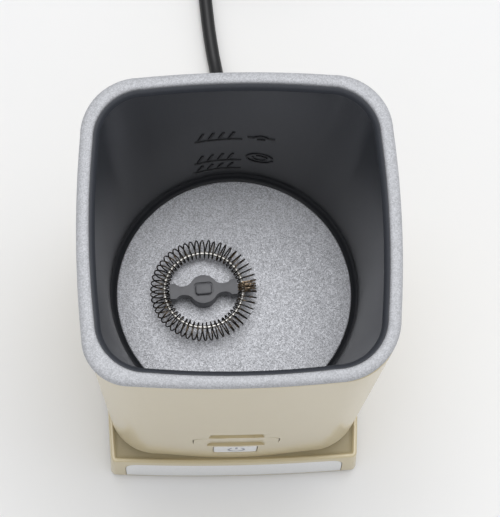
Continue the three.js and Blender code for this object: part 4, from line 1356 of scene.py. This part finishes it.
# ---- whisk ----
HUB_RADIUS = 5.15
HUB_LOW = 0.6
HUB_HIGH = 8.4
RING_HEIGHT = 6.5
RING_RADIUS = 14.1
RING_WIRE = 0.7
ARMS_LOW = 3.4
BOSS = (2.95, 2, 1.1)                  # half sizes and corner radius
BOSS_GROOVE = (3.5, 2.55, 1.5)
COIL_AXIS = 15.75                      # radius of the circle that the coil winds round
COIL_REACH = 3.3                       # half the coil's breadth
COIL_RISE = -2.2                       # half its height; below zero it winds the other way
COIL_LEAN = 0.02
JOIN_GAP = 7                           # degrees on each side of the join that the coil leaves free
JOIN_HALF = 6                          # degrees on each side that the frayed turns fill


def on_spindle(piece, tilt=0.0, height=0.0, turn=0.0):
    """Moves a piece made about the origin onto the whisk's spindle."""
    piece.data.transform(Matrix.Rotation(tilt, 4, "X"))
    piece.data.transform(Matrix.Translation((0, 0, height * MM)))
    piece.data.transform(Matrix.Rotation(turn, 4, "Z"))
    piece.data.transform(Matrix.Translation(Vector(WHISK_SPOT) * MM))
    return piece


def arm_outline():
    """Both arms: narrow necks that widen to paddles under the ring."""
    neck, paddle, root, end = 1.6, 2.8, 3.4, 12.2
    right = curve_through((0, -root), (3.6, -root), ((5.2, -neck), (7.2, -neck)), (7.8, -neck),
                          ((9, -neck), (10, -paddle)), (end - 0.6, -paddle),
                          ((end, -paddle), (end, -paddle + 0.6)), (end, paddle - 0.6),
                          ((end, paddle), (end - 0.6, paddle)), (10, paddle), ((9, neck), (7.8, neck)),
                          (7.2, neck), ((5.2, neck), (3.6, root)), (0, root))
    return right[1:-1] + [(-x, -y) for x, y in right[1:-1]]


def make_hub(turn):
    drum = turned("hub", softened([
        (0.01, HUB_LOW), (HUB_RADIUS, HUB_LOW, 0.3), (HUB_RADIUS, HUB_HIGH), (0.01, HUB_HIGH),
    ]), steps=96)
    worked(drum, "UNION", raised_prism("arms", arm_outline(), ARMS_LOW, HUB_HIGH))
    eased(drum, 0.5, 3, 50)
    groove = raised_prism("groove", rounded_box_outline(*BOSS_GROOVE), HUB_HIGH - 0.7, HUB_HIGH + 1)
    worked(drum, "DIFFERENCE", groove)
    boss = raised_prism("boss", rounded_box_outline(*BOSS), HUB_HIGH - 0.9, HUB_HIGH + 0.8)
    worked(drum, "UNION", eased(boss, 0.5, 3))
    well = turned("well", [(0.01, -1), (4.8, -1), (4.8, 4.4), (2.7, 4.4), (2.7, 7.6), (0.01, 7.6)], steps=48)
    worked(drum, "DIFFERENCE", well)
    drum.name = "hub_and_arms"
    return on_spindle(drum, turn=turn)


class FROTHER_OT_whisk(bpy.types.Operator):
    """Make the whisk's hub, ring, wire coil and spindle"""
    bl_idname = "frother.whisk"
    bl_label = "Whisk"

    def execute(self, context):
        settings = context.scene.frother_whisk
        tilt, turn = settings.tilt, settings.turn
        hub = make_hub(turn)
        place(hub, "whisk", ("whisk_hub",), "dark_plastic")
        circle = [(RING_RADIUS + RING_WIRE * math.cos(a), RING_WIRE * math.sin(a))
                  for a in (2 * math.pi * i / 12 for i in range(12))]
        core = turned("core_wire", circle, steps=120, looped=True)
        on_spindle(core, tilt, RING_HEIGHT, turn)
        place(core, "whisk", ("whisk_core_ring",), "steel", "ring_steel")
        common = {
            "Steps": 20, "Ring radius": COIL_AXIS * MM, "Coil radius": COIL_REACH * MM,
            "Coil height": COIL_RISE * MM, "Lean": COIL_LEAN, "Material": finish("spring_wire"),
        }
        coil = grown("wire_coil", tree_of(coil_tree), common | {
            "Turns": settings.turns, "Start": math.radians(JOIN_GAP),
            "Sweep": math.radians(360 - 2 * JOIN_GAP), "Wire radius": settings.wire / 2,
            "Unevenness": 0.10,
        })
        on_spindle(coil, tilt, RING_HEIGHT, turn)
        place(coil, "whisk", ("whisk_coil",), "steel", "spring_wire")
        # the join's pale brown wire is a painted highlight
        join = grown("coil_join", tree_of(coil_tree), common | {
            "Turns": 4, "Start": math.radians(-JOIN_HALF), "Sweep": math.radians(2 * JOIN_HALF),
            "Wire radius": 0.3 * MM, "Coil radius": 3.0 * MM, "Unevenness": 0.35, "Seed": 2.0,
            "Material": finish("worn_wire"),
        })
        on_spindle(join, tilt, RING_HEIGHT, turn)
        place(join, "whisk", ("whisk_coil",), "steel", "worn_wire")
        pin = turned("spindle", softened([
            (0.01, GAP), (2.3, GAP), (2.3, 0.8, 0.2), (1.4, 1), (1.4, 7, 0.5), (0.01, 7),
        ]), steps=48)
        place(on_spindle(pin), "jug", ("spindle_pin",), "steel")
        return {"FINISHED"}


# ---- base ----
PLATE_HALF = 41.6
PLATE_LOW = 1.9
PLATE_HIGH = 15.2
PLATE_THICK = 0.9
PLATE_CORNER = 5.5
BASE_ROOF = BASE_TOP - 2.4             # underside of the base's top wall
FOOT_SPOTS = [(x, y) for x in (-37, 37) for y in (-42, 42)]
BASE_SCREW_SPOTS = ((0, -40), (-39, 0), (39, 0))
TRAY_DEEP = 1.3                        # how far the tray's floor lies below its edge


def base_spec(z):
    return mixed(BASE_FOOT, BASE_HEAD, (z - BASE_BOTTOM) / (BASE_TOP - BASE_BOTTOM))


def plate_outline(grow):
    """Outline of the front plate in X and Z, square below and round above."""
    half, high, r = PLATE_HALF + grow, PLATE_HIGH + grow, PLATE_CORNER
    return curve_through((-half, PLATE_LOW - grow), (half, PLATE_LOW - grow), (half, high - r),
                         ((half, high), (half - r, high)), (-half + r, high),
                         ((-half, high), (-half, high - r)))


def base_front_layer(name, shallow, deep):
    """Slab that follows the base's leaning front wall between two depths."""
    zs = [BASE_BOTTOM - 1, 5, 10, 15, BASE_TOP]
    slab = through_rings(name, [ring(base_spec(z), shallow, z) for z in zs])
    core = through_rings("core", [ring(base_spec(z), deep, z) for z in [zs[0] - 1, *zs[1:-1], zs[-1] + 1]])
    return worked(slab, "DIFFERENCE", core)


class FROTHER_OT_base(bpy.types.Operator):
    """Make the power base's shell, badge plate, connector, feet and screws"""
    bl_idname = "frother.base"
    bl_label = "Power base"

    def execute(self, context):
        settings = context.scene.frother_base
        wall, edge = settings.wall / MM, settings.edge / MM
        outer = softened([(0.4, BASE_BOTTOM, 0.3), (0, BASE_BOTTOM + 0.4, 0.3), (0, 9), (0, BASE_TOP, edge),
                          (0.5 + edge, BASE_TOP)])
        rings = [ring(base_spec(z), inward, z) for inward, z in outer]
        pad = outline(PAD, -0.35)
        dish = BASE_TOP - TRAY_DEEP
        rings += [ring(BASE_HEAD, inward, z) for inward, z in (
            (0.8 + edge, BASE_TOP - 0.2), (1.4 + edge, dish + 0.3), (2.2 + edge, dish))]
        rings += [[(*p, dish) for p in pad], [(*p, BASE_TOP) for p in pad]]
        rings += [ring(PAD, -0.1, PAD_TOP - 0.25), ring(PAD, 0.25, PAD_TOP)]
        shell = through_rings("plinth", rings)
        hollow = through_rings("hollow", [ring(BASE_FOOT, wall, BASE_BOTTOM - 1),
                                          ring(BASE_HEAD, wall + 0.6, BASE_ROOF)])
        post_hole = bore("post_hole", 7.3, 5, 30, steps=64)
        cord_hole = turned("cord_hole", [(4.9, 44), (4.9, 64)], centre=(0, 0, CORD_EXIT_HEIGHT),
                           steps=48, along_y=True)
        bed = base_front_layer("bed", -1, PLATE_THICK + GAP)
        worked(bed, "INTERSECT", front_prism("bed_form", plate_outline(0.25)))
        worked(shell, "DIFFERENCE", hollow, post_hole, cord_hole, bed)
        # the shell's tray floor carries painted shade from the jug standing over it
        place(shell, "base", ("base_shell",), "beige_enamel", "tray_enamel", 30)

        badge = base_front_layer("badge_plate", 0.05, PLATE_THICK)
        worked(badge, "INTERSECT", front_prism("badge_form", plate_outline(0)))
        eased(badge, 0.15, 2, 50)
        place(badge, "base", ("front_plate",), "silver_paint", "badge_silver")
        make_connector()
        make_feet_and_screws()
        make_strain_relief(settings.ribs)
        return {"FINISHED"}


def make_connector():
    """Column that plugs into the jug, with three brass contact rings."""
    under = BASE_ROOF - GAP
    post = turned("connector_post", softened([
        (0.01, 10), (11, 10, 0.4), (11, under, 0.4), (7, under), (7, 25.2, 0.4), (6.2, 25.2),
        (6.2, 27.2, 0.3), (5.4, 27.2), (5.4, 31, 0.6), (0.01, 31),
    ]), steps=64)
    place(post, "base", ("base_connector",), "black_plastic")
    bands = []
    for radius, low in ((7, 21.2), (6.2, 25.8), (5.4, 28.4)):
        profile = softened([(radius - 0.4, low), (radius + 0.12, low, 0.1), (radius + 0.12, low + 1, 0.1),
                            (radius - 0.4, low + 1)], closed=True)
        bands.append(turned(f"band_{low}", profile, steps=64, looped=True))
    place(merged("contact_rings", bands), "base", ("base_connector",), "brass")


def screw_pattern(head, head_height, shank, total):
    """Cross-slot screw, head down, made at the origin."""
    screw = turned("screw", softened([
        (0.01, 0), (head, 0, 0.25), (head, head_height), (shank, head_height), (shank, total, 0.4),
        (0.01, total),
    ]), steps=28)
    wide, thin = head * 0.65, 0.38
    slots = [raised_prism("slot", box_outline(-a, -b, a, b), -1, 0.45)
             for a, b in ((wide, thin), (thin, wide))]
    return worked(screw, "DIFFERENCE", *slots)


def repeated(name, pattern, points, turn, body, nodes, slot):
    """One piece made of the pattern at each point."""
    whole = grown(name, tree_of(copies_tree), {
        "Pattern": pattern, "Turn": turn, "Seed": 3, "Material": finish(slot),
    }, points)
    bpy.data.objects.remove(pattern)
    return place(whole, body, nodes, slot)


def make_feet_and_screws():
    foot = turned("foot", softened([
        (0.01, 0), (5.6, 0, 0.5), (6, BASE_BOTTOM + 0.6, 0.2), (0.01, BASE_BOTTOM + 0.6),
    ]), steps=40)
    repeated("rubber_feet", foot, [(x, y, 0) for x, y in FOOT_SPOTS], 0.0, "base",
             [f"rubber_foot_{i}" for i in range(1, 5)], "black_rubber")
    repeated("base_screws", screw_pattern(2.7, 0.9, 1.5, 8),
             [(x, y, BASE_BOTTOM + 0.3) for x, y in BASE_SCREW_SPOTS],
             math.pi, "base", [f"base_screw_{i}" for i in range(1, 4)], "steel")


def make_strain_relief(ribs):
    """Tapering rubber sleeve where the cord leaves the base."""
    sleeve = turned("relief_sleeve", softened([
        (0.01, 47.4), (5.2, 47.4, 0.3), (5.2, 48.7), (4.6, 48.7), (4.6, 57, 0.4), (4, 58), (3.2, 86.5, 0.4),
        (2.75, 88), (0.01, 88),
    ]), centre=(0, 0, CORD_EXIT_HEIGHT), steps=48, along_y=True)
    place(sleeve, "base", ("strain_relief",), "black_rubber")
    rings = grown("relief_ribs", tree_of(rib_tree), {
        "Ribs": ribs, "Start": 60 * MM, "Pitch": 3.7 * MM, "Wide": 3.95 * MM, "Narrow": 3.3 * MM,
        "Rib radius": 0.55 * MM, "Height": CORD_EXIT_HEIGHT * MM, "Material": finish("black_rubber"),
    })
    place(rings, "base", ("strain_relief",), "black_rubber")


# ---- underside of the jug and parts that keep their CAD shape ----
COVER_LOW = BODY_BOTTOM + 0.4
COVER_HIGH = COVER_LOW + 2.4
COVER_INWARD = 2.7
SOCKET_RADIUS = 12.5
COVER_SCREW_SPOTS = [(33 * math.cos(math.radians(a)), 33 * math.sin(math.radians(a))) for a in (90, 210, 330)]
PLATE_INWARD = 3


class FROTHER_OT_underside(bpy.types.Operator):
    """Make the jug's bottom cover, socket and screws, and the base's bottom plate"""
    bl_idname = "frother.underside"
    bl_label = "Undersides"

    def execute(self, context):
        cover = through_rings("jug_cover", [ring(BODY_FOOT, inward, z) for inward, z in (
            (COVER_INWARD + 0.3, COVER_LOW), (COVER_INWARD, COVER_LOW + 0.3), (COVER_INWARD, COVER_HIGH))])
        tools = [bore("socket_hole", SOCKET_RADIUS + GAP, 10, 30, steps=64)]
        for spot in COVER_SCREW_SPOTS:
            tools.append(bore("hole", 2, 10, 30, spot))
            tools.append(bore("sink", 3.3, 10, COVER_LOW + 1.3, spot))
        worked(cover, "DIFFERENCE", *tools)
        place(cover, "jug", ("jug_bottom_cover",), "black_plastic")
        socket = turned("power_socket", softened([
            (7.6, COVER_LOW, 0.3), (SOCKET_RADIUS, COVER_LOW, 0.3), (SOCKET_RADIUS, COVER_HIGH),
            (15, COVER_HIGH + GAP), (15, COVER_HIGH + 2), (SOCKET_RADIUS, COVER_HIGH + 2),
            (SOCKET_RADIUS, 34, 0.5), (0.01, 34), (0.01, 31.6), (7.6, 31.6),
        ], closed=True), steps=64, looped=True)
        place(socket, "jug", ("jug_socket",), "black_plastic")
        repeated("cover_screws", screw_pattern(2.9, 1, 1.6, 8),
                 [(x, y, COVER_LOW + GAP) for x, y in COVER_SCREW_SPOTS], math.pi, "jug",
                 [f"cover_screw_{i}" for i in range(1, 4)], "steel")
        make_bottom_plate()
        return {"FINISHED"}


def make_bottom_plate():
    """Plate that closes the base, with beds for its feet, screw holes and six vents."""
    plate = through_rings("bottom_plate", [ring(BASE_FOOT, inward, z) for inward, z in (
        (PLATE_INWARD + 0.2, BASE_BOTTOM + 0.1), (PLATE_INWARD, BASE_BOTTOM + 0.3),
        (PLATE_INWARD, BASE_BOTTOM + 2.2))])
    tools = [bore("foot_bed", 6.3, -1, BASE_BOTTOM + 0.9, spot, 40) for spot in FOOT_SPOTS]
    for spot in BASE_SCREW_SPOTS:
        tools.append(bore("hole", 1.9, -1, 10, spot, 24))
        tools.append(bore("sink", 3.2, -1, BASE_BOTTOM + 1.2, spot))
    for i in range(6):
        y = -15 + 6 * i
        tools.append(raised_prism("vent", [(x + 20, y + v) for x, v in rounded_box_outline(9, 0.9, 0.85)],
                                  BASE_BOTTOM - 1, BASE_BOTTOM + 0.9))
    worked(plate, "DIFFERENCE", *tools)
    place(plate, "base", ("base_bottom_plate",), "black_plastic")


CAD_FINISHES = {
    "steel": ("whisk_magnet", "drive_magnet_1", "drive_magnet_2", "motor_shaft", "motor", "heater_ring",
              "heater_clamp", "ballast_plate"),
    "brass": ("whisk_bearing", "temperature_sensor"),
    "white_plastic": ("drive_rotor", "motor_bracket", "thermal_fuse", "relay"),
    "black_plastic": ("tact_switch", "cord_clamp"),
    "board_green": ("circuit_board",),
}


class FROTHER_OT_inner_parts(bpy.types.Operator):
    """Give every part that keeps its CAD shape its finish"""
    bl_idname = "frother.inner_parts"
    bl_label = "Inner parts"

    def execute(self, context):
        for name, nodes in CAD_FINISHES.items():
            for node in nodes:
                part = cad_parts[node]
                if not part.data.materials:
                    part.data.materials.append(None)
                part.material_slots[0].link = "OBJECT"
                part.material_slots[0].material = finish(name)
        return {"FINISHED"}


class FROTHER_PT_panel(bpy.types.Panel):
    """Sizes and steps of the frother"""
    bl_idname = "FROTHER_PT_panel"
    bl_label = "Milk frother"
    bl_space_type = "VIEW_3D"
    bl_region_type = "UI"
    bl_category = "Frother"

    def draw(self, context):
        for group in ("jug", "chamber", "whisk", "base", "cord", "stage"):
            box = self.layout.box()
            settings = getattr(context.scene, f"frother_{group}")
            for key in settings.__annotations__:
                box.prop(settings, key)
        for step in STEPS:
            self.layout.operator(step.bl_idname)


SETTINGS = {"jug": JugSettings, "chamber": ChamberSettings, "whisk": WhiskSettings, "base": BaseSettings,
            "cord": CordSettings, "stage": StageSettings}
STEPS = (FROTHER_OT_stage, FROTHER_OT_cord, FROTHER_OT_body, FROTHER_OT_rim, FROTHER_OT_chamber,
         FROTHER_OT_whisk, FROTHER_OT_base, FROTHER_OT_underside, FROTHER_OT_inner_parts)


def register():
    for settings in SETTINGS.values():
        bpy.utils.register_class(settings)
    for name, settings in SETTINGS.items():
        setattr(bpy.types.Scene, f"frother_{name}", PointerProperty(type=settings))
    for kind in (*STEPS, FROTHER_PT_panel):
        bpy.utils.register_class(kind)


def unregister():
    for kind in reversed((*STEPS, FROTHER_PT_panel)):
        bpy.utils.unregister_class(kind)
    for name in SETTINGS:
        delattr(bpy.types.Scene, f"frother_{name}")
    for settings in SETTINGS.values():
        bpy.utils.unregister_class(settings)


def main():
    register()
    for group, name in (step.bl_idname.split(".") for step in STEPS):
        getattr(getattr(bpy.ops, group), name)()


if __name__ == "__main__":
    main()
